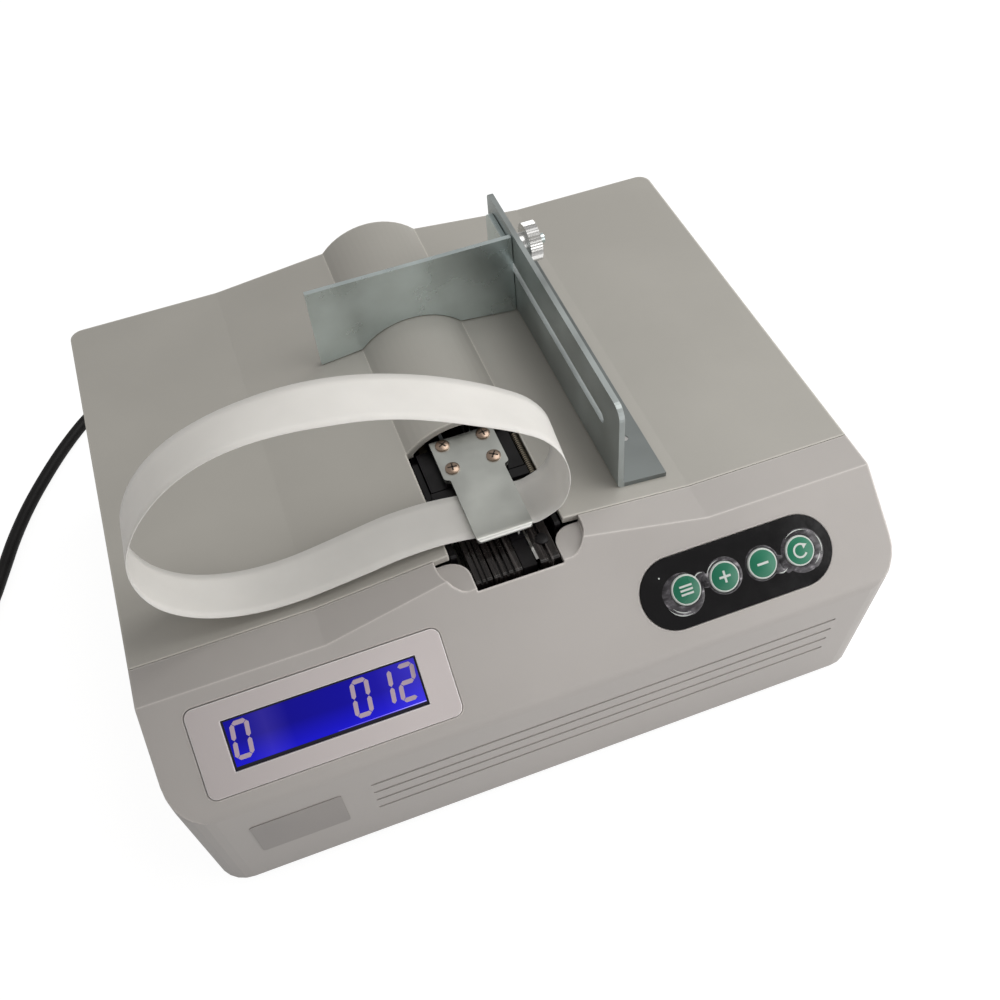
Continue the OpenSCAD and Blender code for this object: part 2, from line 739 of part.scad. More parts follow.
// Side plate on two legs, with a bent foot, a window for the tape and a bore for the camshaft
module head_plate(side) {
    beam_z = press_z - 20;
    top = lid_z + ramp_rise - 2.4;
    front_top = shelf_z - shelf_t - 0.6;
    rear_top = lid_z + 1;
    x0 = side > 0 ? head_x : -head_out_x;
    color([0.13, 0.13, 0.14]) difference() {
        union() {
            along_x(x0, x0 + head_t)
                polygon(rounded([[head_y, floor_z], [bar_y + bar_t, floor_z], [bar_y + bar_t, beam_z],
                    [head_end_y - 12, beam_z], [head_end_y - 12, floor_z], [head_end_y, floor_z],
                    [head_end_y, rear_top], [seam_y + head_open - 1, rear_top],
                    [seam_y + head_open - 4, top], [seam_y + 0.5, top], [seam_y + 0.5, front_top],
                    [head_y, front_top]], [0, 0, 4, 4, 0, 0, 3, 0, 0, 1, 0, 3]));
            for (y = [[head_y, bar_y + bar_t], [head_end_y - 12, head_end_y]])
                block(side > 0 ? [head_x - 8, head_x + 0.5] : [-head_x - 0.5, -head_x + 8], y,
                    [floor_z, floor_z + head_t]);
        }
        block([x0 - 1, x0 + head_t + 1], [tape_y - 1.5, tape_end_y + 1.5], [nip_z - 4, nip_z + 4]);
        pin_x(x0 - 1, x0 + head_t + 1, stem_y, cam_z, camshaft_d + 4);
    }
}

module head_plate_left() {
    head_plate(-1);
}

// The right plate also carries a short ribbed pin along its top edge
module head_plate_right() {
    head_plate(1);
    color([0.5, 0.48, 0.44])
        pin_y(bar_y - 1, seam_y + head_open - 5, head_x + 1, lid_z + ramp_rise - 1.6, 2.4);
}

// Bars across the head that hold the rods in front and behind
module cross_bars() {
    color([0.6, 0.61, 0.63]) for (y = [bar_y, rear_bar_y]) difference() {
        block([-head_x, head_x], [y, y + bar_t], [plunger_z - 8, rod_z + 3.5]);
        for (side = [-1, 1]) pin_y(y - 1, y + bar_t + 1, side * rod_x, rod_z, rod_d);
        if (y > 0) pin_y(y - 1, y + bar_t + 1, 0, plunger_z, plunger_d + 2 * gap);
    }
}

module slide_rods() {
    color([0.8, 0.81, 0.82])
        for (side = [-1, 1]) pin_y(bar_y, rear_bar_y + bar_t, side * rod_x, rod_z, rod_d);
}

anvil_screw_x = 7.7;
anvil_rear_w = 24;
function anvil_screw_places() = [
    for (x = [-anvil_screw_x, anvil_screw_x], y = [carriage_y + 4.5, carriage_end_y - 3]) [x, y]
];

// Polished plate that the tape is pressed against: narrow in front, wide over the carriage
module anvil_plate() {
    front = tape_y - 2.8;
    color([0.72, 0.73, 0.74]) difference() {
        intersection() {
            along_x(-anvil_rear_w, anvil_rear_w)
                polygon(rounded([[front, anvil_z], [front, anvil_z + anvil_t], [carriage_end_y, anvil_z + anvil_t],
                    [carriage_end_y, anvil_z]], [0.3, anvil_t - 0.4, 0, 0]));
            translate([0, 0, anvil_z]) linear_extrude(anvil_t) polygon(rounded([[-anvil_w / 2, front], [anvil_w / 2, front], [anvil_w / 2, carriage_y],
                [anvil_rear_w / 2, carriage_y], [anvil_rear_w / 2, carriage_end_y],
                [-anvil_rear_w / 2, carriage_end_y], [-anvil_rear_w / 2, carriage_y],
                [-anvil_w / 2, carriage_y]], [1.5, 1.5, 1, 1.5, 0, 0, 1.5, 1]));
        }
        for (p = anvil_screw_places()) translate([p[0], p[1], anvil_z - 1]) cylinder(h = 5, d = 3);
    }
}

module anvil_screws() {
    color([0.7, 0.5, 0.32])
        for (p = anvil_screw_places()) translate([p[0], p[1], anvil_z]) {
            translate([0, 0, anvil_t]) cylinder(h = 1.1, d1 = 5, d2 = 3.6);
            translate([0, 0, -5]) cylinder(h = 5.2 + anvil_t, d = 2.8);
        }
}

// Block that slides on the rods, with the solenoid's plunger behind it
module anvil_carriage() {
    pad_w = anvil_rear_w - 1;
    low = plunger_z - 6;
    color([0.16, 0.16, 0.17]) difference() {
        union() {
            block([-head_x + 0.4, head_x - 0.4], [carriage_y, carriage_end_y], [rod_z - 5, rod_z + 3.4]);
            block([-8, 8], [carriage_y, carriage_end_y], [low, rod_z]);
            block([-pad_w / 2, pad_w / 2], [carriage_y, carriage_end_y], [rod_z, anvil_z]);
            pin_y(carriage_end_y - 1, solenoid_y + 8, 0, plunger_z, plunger_d);
        }
        for (side = [-1, 1])
            pin_y(carriage_y - 1, carriage_end_y + 1, side * rod_x, rod_z, rod_d + 2 * fit);
        for (p = anvil_screw_places()) translate([p[0], p[1], anvil_z - 6]) cylinder(h = 8, d = 2.8);
    }
}

// Pull solenoid: coil between the cheeks of its iron yoke
module solenoid() {
    y1 = solenoid_y + solenoid_len;
    x = solenoid_w / 2;
    z = solenoid_h / 2;
    color([0.3, 0.3, 0.32]) difference() {
        union() {
            block([-x, x], [solenoid_y, solenoid_y + 2.5], [plunger_z - z, plunger_z + z]);
            block([-x, x], [y1 - 2.5, y1], [plunger_z - z, plunger_z + z]);
            block([-x, x], [solenoid_y, y1], [plunger_z - z, plunger_z - z + 2]);
            pin_y(solenoid_y + 1, y1 - 1, 0, plunger_z, solenoid_h - 3);
        }
        pin_y(solenoid_y - 1, y1 - 3.5, 0, plunger_z, plunger_d + 2 * gap);
    }
}

module solenoid_shelf() {
    z = plunger_z - solenoid_h / 2;
    color([0.6, 0.61, 0.63]) difference() {
        union() {
            block([-head_x, head_x], [solenoid_y, head_end_y - 3], [z - 1.5, z]);
            for (side = [-1, 1]) block(side > 0 ? [head_x - 1.5, head_x] : [-head_x, -head_x + 1.5],
                [solenoid_y, head_end_y - 3], [z - 7, z - 1]);
        }
        for (y = [solenoid_y + 8, solenoid_y + solenoid_len - 8]) translate([0, y, z - 3])
            cylinder(h = 5, d = 3.4);
    }
}

// Comb that guides the three stems
module press_guide() {
    z = [guide_block_z, guide_block_z + guide_block_h];
    color([0.85, 0.84, 0.8]) difference() {
        block([-head_x, head_x], [press_y - 0.7, tape_y - 1.2], z);
        for (edges = [left_clamp_x, heater_x, right_clamp_x]) {
            x = (edges[0] + edges[1]) / 2;
            block([x - cam_w / 2 - gap, x + cam_w / 2 + gap],
                [stem_y - stem_d / 2 - gap, stem_y + stem_d / 2 + gap], [z[0] - 1, z[1] + 1]);
        }
    }
}

// Press block: a long head over the tape's width on a narrow stem with a rounded foot
module press_block(edges, ribs) {
    x = (edges[0] + edges[1]) / 2;
    head_z = press_z - press_head_h;
    pitch = (edges[1] - edges[0]) / (ribs + 0.5);
    difference() {
        union() {
            along_x(edges[0], edges[1])
                polygon(rounded([[press_y, press_z], [press_y, head_z + 4], [press_y + 3, head_z],
                    [press_end_y - 8, head_z], [press_end_y, head_z + 8], [press_end_y, press_z]],
                    [1, 0, 0, 0, 0, 0]));
            along_x(x - cam_w / 2, x + cam_w / 2)
                polygon(rounded([[stem_y - stem_d / 2, head_z + 1], [stem_y - stem_d / 2, follower_z + 3.8],
                    [stem_y, follower_z - 1.2], [stem_y + stem_d / 2, follower_z + 3.8],
                    [stem_y + stem_d / 2, head_z + 1]], [0, 2, 2, 2, 0]));
        }
        for (i = [1:ribs - 1]) translate([edges[0] + i * pitch, press_y - 1, press_z - 1.6])
            cube([pitch * 0.4, press_end_y - press_y + 2, 3]);
    }
}

module left_clamp() {
    color([0.12, 0.12, 0.13]) press_block(left_clamp_x, 3);
}

module heater_block() {
    color([0.2, 0.2, 0.21]) press_block(heater_x, 4);
}

module right_clamp() {
    color([0.12, 0.12, 0.13]) press_block(right_clamp_x, 2);
}

module cutter_blade() {
    color([0.85, 0.86, 0.87]) along_x(blade_x[0], blade_x[1])
        polygon([[press_y + 2, press_z - 11], [press_end_y - 1, press_z - 11], [press_end_y - 1, press_z - 1.5],
            [press_y + 2, press_z - 0.3]]);
}

// Fixed mouth that the tape comes out of, screwed to the front bar
module tape_nozzle() {
    color([0.75, 0.76, 0.78]) difference() {
        union() {
            block(nozzle_x, [tape_y - 1.8, bar_y], [nip_z + 8, press_z]);
            block(nozzle_x, [press_y + 0.3, tape_y], [press_z - 12, press_z - 0.6]);
        }
        block([tape_slot_x - 0.5, tape_slot_x + 0.5], [tape_y - 0.5, tape_end_y + 0.5], [nip_z, press_z + 1]);
    }
}

// Curved channel that turns the tape from level to upright
module tape_chute() {
    y = [tape_y - 1, tape_end_y + 1];
    turn_r = 8;
    cx = tape_slot_x - turn_r;
    color([0.9, 0.9, 0.86]) difference() {
        block([-head_x, tape_slot_x + 4], y, [nip_z - 8, nip_z + 8]);
        along_y(y[0] + 0.5, y[1] - 0.5) difference() {
            union() {
                translate([cx, nip_z + turn_r]) circle(turn_r + 0.6);
                translate([-head_x - 1, nip_z - 0.6]) square([head_x + 1 + cx, 1.2]);
            }
            translate([cx, nip_z + turn_r]) circle(turn_r - 0.6);
            translate([-head_x - 2, nip_z + 0.6]) square([head_x + 2 + cx, 30]);
            translate([-head_x - 2, nip_z + turn_r]) square([60, 30]);
        }
    }
}

// Constant-rise cam: its radius grows evenly with the angle over the sweep
function cam_radius(turn) = cam_r + press_lift * max(0, min(1, turn / cam_sweep));
module cam_outline() {
    rise = [for (turn = [0:6:cam_sweep + 12]) cam_radius(turn) * [cos(90 - turn), sin(90 - turn)]];
    back = [for (turn = [cam_sweep + 24:12:348]) cam_r * [cos(90 - turn), sin(90 - turn)]];
    polygon(concat(rise, back));
}

cam_motor_x = head_out_x + 18;
module camshaft() {
    color([0.7, 0.7, 0.72]) {
        pin_x(-head_out_x - 3, cam_motor_x - 4, stem_y, cam_z, camshaft_d);
        for (edges = [left_clamp_x, heater_x, right_clamp_x]) {
            x = (edges[0] + edges[1]) / 2;
            along_x(x - cam_w / 2, x + cam_w / 2) translate([stem_y, cam_z]) cam_outline();
        }
        pin_x(head_out_x + 3, cam_motor_x - gap, stem_y, cam_z, 16);
    }
}

module cam_bushes() {
    color([0.72, 0.55, 0.3]) for (side = [-1, 1]) difference() {
        union() {
            pin_x(side * (head_x + head_t / 2) - head_t / 2, side * (head_x + head_t / 2) + head_t / 2,
                stem_y, cam_z, camshaft_d + 4);
            pin_x(side > 0 ? head_out_x : -head_out_x - 1.5, side > 0 ? head_out_x + 1.5 : -head_out_x,
                stem_y, cam_z, camshaft_d + 8);
        }
        pin_x(-head_out_x - 5, head_out_x + 5, stem_y, cam_z, camshaft_d + 2 * fit);
    }
}

gearbox_d = 34;
module cam_motor() {
    x0 = cam_motor_x + 2;
    color([0.62, 0.63, 0.65]) {
        pin_x(cam_motor_x, x0 + 1, stem_y, cam_z, 12);
        pin_x(x0, x0 + 24, stem_y, cam_z, gearbox_d);
        pin_x(x0 + 23, x0 + 60, stem_y, cam_z, gearbox_d - 4);
        pin_x(x0 + 59, x0 + 63, stem_y, cam_z, 10);
    }
}

module motor_brackets() {
    cam_motor_bracket();
    feed_motor_bracket();
}

module cam_motor_bracket() {
    y = [stem_y - 20, stem_y + 20];
    color([0.5, 0.51, 0.53]) difference() {
        union() {
            block([cam_motor_x, cam_motor_x + 2], y, [floor_z, cam_z + 16]);
            block([cam_motor_x, cam_motor_x + 22], y, [floor_z, floor_z + 2]);
        }
        pin_x(cam_motor_x - 1, cam_motor_x + 3, stem_y, cam_z, 12);
        for (i = [-1, 1]) translate([cam_motor_x + 14, stem_y + i * 13, 0]) cylinder(h = 20, d = 3.4);
    }
}

// ---- Tape feed ----

// Bracket with two uprights that carry the feed roller and the pinch arm
module feed_frame() {
    right = -head_out_x;
    color([0.6, 0.61, 0.63]) difference() {
        union() {
            for (y = [frame_y, frame_end_y - frame_t]) along_y(y, y + frame_t)
                polygon(rounded([[frame_x, floor_z], [right, floor_z], [right, nip_z + 2],
                    [pivot_x + 8, pivot_z + 5], [frame_x, pivot_z + 5]], [0, 0, 0, 3, 3]));
            block([frame_x, right], [frame_y, frame_end_y], [floor_z, floor_z + frame_t]);
        }
        pin_y(frame_y - 1, frame_end_y + 1, nip_x, feed_z, 6 + 2 * fit);
        pin_x(frame_x - 1, right + 1, stem_y, cam_z, camshaft_d + 10);
    }
    color([0.75, 0.76, 0.78]) pin_y(frame_y + 1, frame_end_y - 1, pivot_x, pivot_z, 4);
}

module feed_roller() {
    color([0.15, 0.15, 0.15]) pin_y(tape_y + 1, tape_end_y - 1, nip_x, feed_z, feed_d);
    color([0.75, 0.76, 0.78]) pin_y(frame_y - 3, gear_y + gear_w + 0.5, nip_x, feed_z, 6);
}

// Involute tooth flanks, worked out at four radii from root to tip
function involute(r, rb) = let (a = acos(min(1, rb / r))) tan(a) * 180 / PI - a;
module spur_gear(teeth, m, backlash) {
    pitch_r = m * teeth / 2;
    rb = pitch_r * cos(20);
    tip = pitch_r + 0.85 * m;
    root = pitch_r - 1.15 * m;
    half = 90 / teeth - backlash * 90 / PI / pitch_r + involute(pitch_r, rb);
    radii = [for (i = [0:4]) max(rb, root) + (tip - max(rb, root)) * i / 4];
    flank = [for (r = radii) [r, half - involute(r, rb)]];
    tooth = concat([[root, half + 0.5]], flank);
    polygon([for (k = [0:teeth - 1], s = [-1, 1], i = [0:len(tooth) - 1])
        let (p = tooth[s < 0 ? i : len(tooth) - 1 - i], a = k * 360 / teeth + s * p[1])
        p[0] * [cos(a), sin(a)]]);
}

module feed_gear() {
    color([0.9, 0.9, 0.86]) difference() {
        union() {
            along_y(gear_y, gear_y + gear_w) translate([nip_x, feed_z])
                rotate(-90 + 180 / gear_teeth) spur_gear(gear_teeth, gear_module, 0.15);
            pin_y(gear_y - 0.6, gear_y + 1, nip_x, feed_z, 10);
        }
        pin_y(gear_y - 2, gear_y + gear_w + 1, nip_x, feed_z, 6);
    }
}

module motor_pinion() {
    color([0.8, 0.7, 0.4]) difference() {
        along_y(gear_y - 0.4, gear_y + gear_w + 0.4) translate([nip_x, pinion_z])
            rotate(90) spur_gear(pinion_teeth, gear_module, 0.15);
        pin_y(gear_y - 2, gear_y + gear_w + 2, nip_x, pinion_z, 3);
    }
    color([0.75, 0.76, 0.78]) pin_y(gear_y - 0.4, motor_plate_y + 4, nip_x, pinion_z, 3);
}

module feed_motor() {
    y0 = motor_plate_y + 2;
    color([0.62, 0.63, 0.65]) difference() {
        union() {
            pin_y(motor_plate_y, y0 + 1, nip_x, pinion_z, 10);
            pin_y(y0, y0 + 38, nip_x, pinion_z, motor_d);
            pin_y(y0 + 37, y0 + 41, nip_x, pinion_z, 10);
        }
        pin_y(motor_plate_y - 1, motor_plate_y + 5, nip_x, pinion_z, 3 + 2 * fit);
    }
}

module feed_motor_bracket() {
    half = motor_d / 2;
    y = motor_plate_y;
    color([0.5, 0.51, 0.53]) difference() {
        union() {
            along_y(y, y + 2) polygon(rounded([[nip_x - half, floor_z], [nip_x + half - 4, floor_z],
                [nip_x + half - 4, pinion_z + half - 4], [nip_x - half, pinion_z + half - 4]], [0, 0, 8, 8]));
            block([nip_x - half, nip_x + half - 4], [y, y + 20], [floor_z, floor_z + 2]);
        }
        pin_y(y - 1, y + 3, nip_x, pinion_z, 10);
    }
}

// Yoke that presses the pinch roller down on the feed roller
module pinch_arm() {
    y = [frame_y + frame_t + 0.4, frame_end_y - frame_t - 0.4];
    color([0.66, 0.67, 0.7]) difference() {
        union() {
            for (y0 = [y[0], y[1] - 1.6]) along_y(y0, y0 + 1.6)
                polygon(rounded([[pivot_x - 4, pivot_z - 4], [pivot_x + 6, pivot_z - 4],
                    [nip_x - 4, pinch_z - 4], [nip_x + 5, pinch_z - 4], [nip_x + 5, pinch_z + 4],
                    [nip_x - 6, pinch_z + 8.5], [pivot_x - 4, pivot_z + 4]], [3, 1, 1, 3, 3, 1, 3]));
            block([pivot_x + 2, nip_x - 6], [y[0], y[1]], [pinch_z + 7, pinch_z + 8.4]);
        }
        pin_y(y[0] - 1, y[1] + 1, pivot_x, pivot_z, 4 + 2 * fit);
        pin_y(y[0] - 1, y[1] + 1, nip_x, pinch_z, 4);
    }
    color([0.75, 0.76, 0.78]) pin_y(y[0], y[1], nip_x, pinch_z, 4);
}

module pinch_roller() {
    color([0.9, 0.9, 0.86]) difference() {
        pin_y(tape_y + 1, tape_end_y - 1, nip_x, pinch_z, pinch_d);
        pin_y(tape_y - 1, tape_end_y + 1, nip_x, pinch_z, 4 + 2 * fit);
    }
}

// Upright plate with the fixed spindle of the paper roll
bracket_y = tape_end_y + 4.5;
module roll_bracket() {
    color([0.5, 0.51, 0.53]) {
        along_y(bracket_y, bracket_y + 2)
            polygon(rounded([[roll_x - 24, floor_z], [roll_x + 24, floor_z], [roll_x + 12, roll_z + 14],
                [roll_x - 12, roll_z + 14]], [0, 0, 8, 8]));
        block([roll_x - 24, roll_x + 24], [bracket_y, bracket_y + 16], [floor_z, floor_z + 2]);
        pin_y(tape_y - 4, bracket_y + 1, roll_x, roll_z, spindle_d);
    }
}

// Hub inside the roll, with its rear flange and its front retaining disc
module roll_hub() {
    color([0.2, 0.22, 0.25]) difference() {
        union() {
            pin_y(tape_y - 0.3, tape_end_y + 0.5, roll_x, roll_z, 2 * hub_r);
            pin_y(tape_end_y + 0.4, tape_end_y + 2, roll_x, roll_z, core_d + 26);
            pin_y(tape_y - 2, tape_y - 0.3, roll_x, roll_z, core_d + 6);
            pin_y(tape_y - 3.6, tape_y - 1.9, roll_x, roll_z, 20);
        }
        pin_y(tape_y - 5, tape_end_y + 6, roll_x, roll_z, spindle_d + 2 * fit);
    }
}

module paper_roll() {
    color([0.93, 0.92, 0.89]) difference() {
        pin_y(tape_y, tape_end_y, roll_x, roll_z, roll_d);
        pin_y(tape_y - 1, tape_end_y + 1, roll_x, roll_z, core_d);
    }
    color([0.6, 0.48, 0.35]) difference() {
        pin_y(tape_y, tape_end_y, roll_x, roll_z, core_d);
        pin_y(tape_y - 1, tape_end_y + 1, roll_x, roll_z, 2 * hub_r);
    }
}

// Outline of a strip of thickness t along an open path
function strip_normal(path, i) =
    let (a = path[max(0, i - 1)], b = path[min(len(path) - 1, i + 1)], d = unit(b - a)) [-d[1], d[0]];
function strip(path, t) = concat(
    [for (i = [0:len(path) - 1]) path[i] + strip_normal(path, i) * t / 2],
    [for (i = [len(path) - 1:-1:0]) path[i] - strip_normal(path, i) * t / 2]);

// Tape from the roll through the nip and the chute up to the anvil
roll_run_r = roll_d / 2 + gap + run_t;
module tape_run() {
    to_nip = [nip_x - roll_x, nip_z - roll_z];
    tangent = atan2(to_nip[1], to_nip[0]) + acos(roll_run_r / norm(to_nip));
    turn_r = 8;
    start = [roll_x, roll_z] + roll_run_r * [cos(tangent), sin(tangent)];
    corner = [tape_slot_x - turn_r, nip_z + turn_r];
    path = concat([start, [nip_x, nip_z]], [for (a = [-90:15:0]) corner + turn_r * [cos(a), sin(a)]],
        [[tape_slot_x, strap_z - gap]]);
    color([0.93, 0.92, 0.89]) along_y(tape_y, tape_end_y) polygon(strip(path, run_t));
}

// Smooth closed curve through the points p, with n steps between neighbours
function closed_curve(p, n) = [
    for (i = [0:len(p) - 1], k = [0:n - 1])
        let (c = len(p), a = p[(i + c - 1) % c], b = p[i], d = p[(i + 1) % c], e = p[(i + 2) % c], t = k / n)
        0.5 * (2 * b + (d - a) * t + (2 * a - 5 * b + 4 * d - e) * t * t + (3 * b - a - 3 * d + e) * t * t * t)
];

// Band of tape around the place of the notes: [x, height above the lid's flat top]
strap_mid = ramp_rise + gap + strap_t / 2;
strap_on_lid = gap + strap_t / 2;
band_points = [
    [-9, strap_mid], [0, strap_mid], [10, strap_mid], [19, strap_mid + 1.6], [26.5, strap_mid + 8],
    [29, strap_mid + 18], [25, strap_mid + 28], [14, 43], [0, 55], [-16, 65.5], [-34, 73.5], [-54, 78], [-74, 78],
    [-92, 72.5], [-105, 63.5], [-114, 51], [-118, 36], [-115.5, 21.5], [-107, 9], [-94, 2.4],
    [-80, strap_on_lid + 0.2], [-ramp_out, strap_on_lid + 0.1], [-44.2, strap_on_lid + ramp_rise / 2],
    [-bump_half, strap_mid]
];
module band_loop() {
    curve = closed_curve(band_points, 4);
    count = len(curve);
    normals = [for (i = [0:count - 1])
        let (d = unit(curve[(i + 1) % count] - curve[(i + count - 1) % count])) [-d[1], d[0]]];
    color([0.95, 0.94, 0.92]) translate([0, 0, lid_z]) along_y(tape_y, tape_end_y) difference() {
        polygon([for (i = [0:count - 1]) curve[i] - normals[i] * strap_t / 2]);
        polygon([for (i = [0:count - 1]) curve[i] + normals[i] * strap_t / 2]);
    }
}

// ---- Electrics ----

board_x = [-half_w + 12, -head_out_x - 4];
board_y = [rear_y - 88, rear_y - 18];
board_z = floor_z + 9;
module control_board() {
    color([0.1, 0.38, 0.16]) difference() {
        block(board_x, board_y, [board_z, board_z + 1.6]);
        for (x = [board_x[0] + 4, board_x[1] - 4], y = [board_y[0] + 4, board_y[1] - 4])
            translate([x, y, board_z - 1]) cylinder(h = 4, d = 3);
    }
    top = board_z + 1.5;
    color([0.8, 0.8, 0.8]) for (x = [board_x[0] + 4, board_x[1] - 4], y = [board_y[0] + 4, board_y[1] - 4])
        translate([x, y, floor_z]) cylinder(h = board_z - floor_z, d = 6, $fn = 24);
    color([0.1, 0.1, 0.1]) {
        block([board_x[0] + 12, board_x[0] + 34], [board_y[0] + 10, board_y[0] + 32], [top, top + 14]);
        block([board_x[0] + 44, board_x[0] + 58], [board_y[0] + 34, board_y[0] + 54], [top, top + 4]);
        for (i = [0:2]) translate([board_x[0] + 18 + i * 14, board_y[1] - 12, top])
            cylinder(h = 16, d = 10, $fn = 32);
        for (i = [0:3]) block([board_x[1] - 22, board_x[1] - 4], [board_y[0] + 10 + i * 13, board_y[0] + 20 + i * 13],
            [top, top + 7]);
    }
}

// Laminated core with its winding and feet
module transformer() {
    x = half_w - 47;
    y = rear_y - 46;
    color([0.35, 0.35, 0.37]) difference() {
        translate([x - 20, y - 28, floor_z + 1.5]) cube([40, 56, 46]);
        for (side = [-1, 1]) translate([x - 21, y + side * 14 - 4.5, floor_z + 10]) cube([42, 9, 29]);
    }
    color([0.75, 0.6, 0.3]) translate([x - 27, y - 18.4, floor_z + 10.2]) difference() {
        cube([54, 36.8, 28.6]);
        translate([7, 8.9, -1]) cube([40, 19, 40]);
    }
    color([0.5, 0.51, 0.53]) for (side = [-1, 1])
        translate([x - 20, y + side * 32 - 8, floor_z]) cube([40, 16, 1.6]);
}

switch_x = 50;
switch_z = 36;
module switch_cutout() {
    block([switch_x - 7, switch_x + 7], [rear_y - 20, rear_y + 5], [switch_z - 10, switch_z + 10]);
}

module power_switch() {
    color([0.08, 0.08, 0.08]) difference() {
        union() {
            block([switch_x - 6.8, switch_x + 6.8], [rear_y - 18, rear_y + 1], [switch_z - 9.8, switch_z + 9.8]);
            block([switch_x - 8, switch_x + 8], [rear_y, rear_y + 1.6], [switch_z - 11, switch_z + 11]);
        }
        block([switch_x - 5, switch_x + 5], [rear_y - 6, rear_y + 5], [switch_z - 8.5, switch_z + 8.5]);
        pin_x(switch_x - 6, switch_x + 6, rear_y - 1.5, switch_z, 2.4 + 2 * fit);
    }
}

// Rocker with its two faces meeting at a shallow angle over its pivot
module switch_rocker() {
    color([0.75, 0.1, 0.08]) pin_x(switch_x - 5.7, switch_x + 5.7, rear_y - 1.5, switch_z, 2.4);
    color([0.75, 0.1, 0.08]) along_x(switch_x - 4.6, switch_x + 4.6)
        polygon([[rear_y - 4.6, switch_z - 3], [rear_y - 4.6, switch_z + 3], [rear_y + 0.4, switch_z + 7.6],
            [rear_y + 3.6, switch_z + 7.4], [rear_y + 1.8, switch_z], [rear_y + 1, switch_z - 7.4],
            [rear_y - 1, switch_z - 7.6]]);
}

// ---- Mains cord ----

module relief_hole() {
    pin_y(rear_y - 10, rear_y + 5, relief_x, relief_z, 11);
}

// Ribbed bush, tapering to the cord
module strain_relief() {
    tip = relief_len;
    color([0.06, 0.06, 0.06]) translate([relief_x, rear_y, relief_z]) rotate([-90, 0, 0]) {
        translate([0, 0, -wall - 3]) cylinder(h = 3, d = 14);
        translate([0, 0, -wall - 1]) cylinder(h = wall + 2, d = 11);
        cylinder(h = 3, d = 14);
        difference() {
            cylinder(h = tip, d1 = 11, d2 = cord_d + 2);
            for (i = [0:4]) translate([0, 0, 6.5 + i * 5.6]) rotate_extrude()
                translate([cord_d / 2 + 0.6, 0]) square([10, 2]);
        }
    }
}

function tangent_at(p, i) = i == 0 ? unit(p[1] - p[0])
    : i == len(p) - 1 ? unit(p[i] - p[i - 1]) : unit(unit(p[i + 1] - p[i]) + unit(p[i] - p[i - 1]));

// Tube of the given radius along a path that is nowhere upright
module tube(path, r, sides) {
    count = len(path);
    rings = [for (i = [0:count - 1])
        let (t = tangent_at(path, i), side = unit(cross(t, [0, 0, 1])), up = cross(side, t))
        for (k = [0:sides - 1]) let (a = 90 + k * 360 / sides) path[i] + r * (cos(a) * side + sin(a) * up)];
    walls = [for (i = [0:count - 2], k = [0:sides - 1])
        let (a = i * sides + k, b = i * sides + (k + 1) % sides)
        each [[a, b, b + sides], [a, b + sides, a + sides]]];
    first = [for (k = [1:sides - 2]) [0, k + 1, k]];
    last = [for (k = [1:sides - 2]) (count - 1) * sides * [1, 1, 1] + [0, k, k + 1]];
    polyhedron(rings, concat(walls, first, last));
}

// Coil in two layers: in along the table, half a turn up, and out again on top
coil_sweep = 2 * coil_turns + 0.5;
function coil_radius(turn) = turn < coil_turns ? coil_out_r - coil_pitch * turn
    : turn > coil_turns + 0.5 ? coil_in_r + coil_pitch * (turn - coil_turns - 0.5)
    : coil_in_r - 0.8 * sin(360 * (turn - coil_turns));
function coil_height(turn) = cord_r + coil_pitch * max(0, min(1, 2 * (turn - coil_turns)));
coil_path = [for (i = [0:coil_rings * coil_sweep])
    let (turn = i / coil_rings, r = coil_radius(turn))
    [coil_x + r * cos(-360 * turn), coil_y + r * sin(-360 * turn), coil_height(turn)]];
coil_in = [coil_x + coil_out_r, coil_y + cord_d, cord_r];
coil_out = [coil_x - coil_out_r, coil_y + cord_d, cord_r + coil_pitch];
coil_gaps = [for (i = [0:3:len(coil_path) - 1], j = [i + 9:1:len(coil_path) - 1])
    norm(coil_path[i] - coil_path[j]) - cord_d];
echo(least_gap_in_coil = min(coil_gaps));

module cord_coil() {
    color([0.05, 0.05, 0.05]) tube(concat([coil_in], coil_path, [coil_out]), cord_r, 6);
}

module cord() {
    color([0.05, 0.05, 0.05]) tube(concat([cord_start], cord_route, [coil_in]), cord_r, 8);
}

module cord_tail() {
    color([0.05, 0.05, 0.05]) tube(concat([coil_out], tail_route, [[-292, plug_y, plug_z]]), cord_r, 8);
}

// Two-pin plug
module plug() {
    color([0.06, 0.06, 0.06]) translate([-292, plug_y, plug_z]) rotate([-90, 0, 0]) {
        cylinder(h = 12, d1 = cord_d + 2, d2 = 12);
        translate([0, 0, 11]) intersection() {
            linear_extrude(24) rounded_rect(26, 13.6, 5);
            translate([0, 0, -12]) cylinder(h = 48, d1 = 12, d2 = 44);
        }
    }
    color([0.8, 0.8, 0.8]) for (side = [-1, 1])
        translate([-292 + side * 9.3, plug_y + 34.5, plug_z]) rotate([-90, 0, 0]) cylinder(h = 19, d = 4);
}

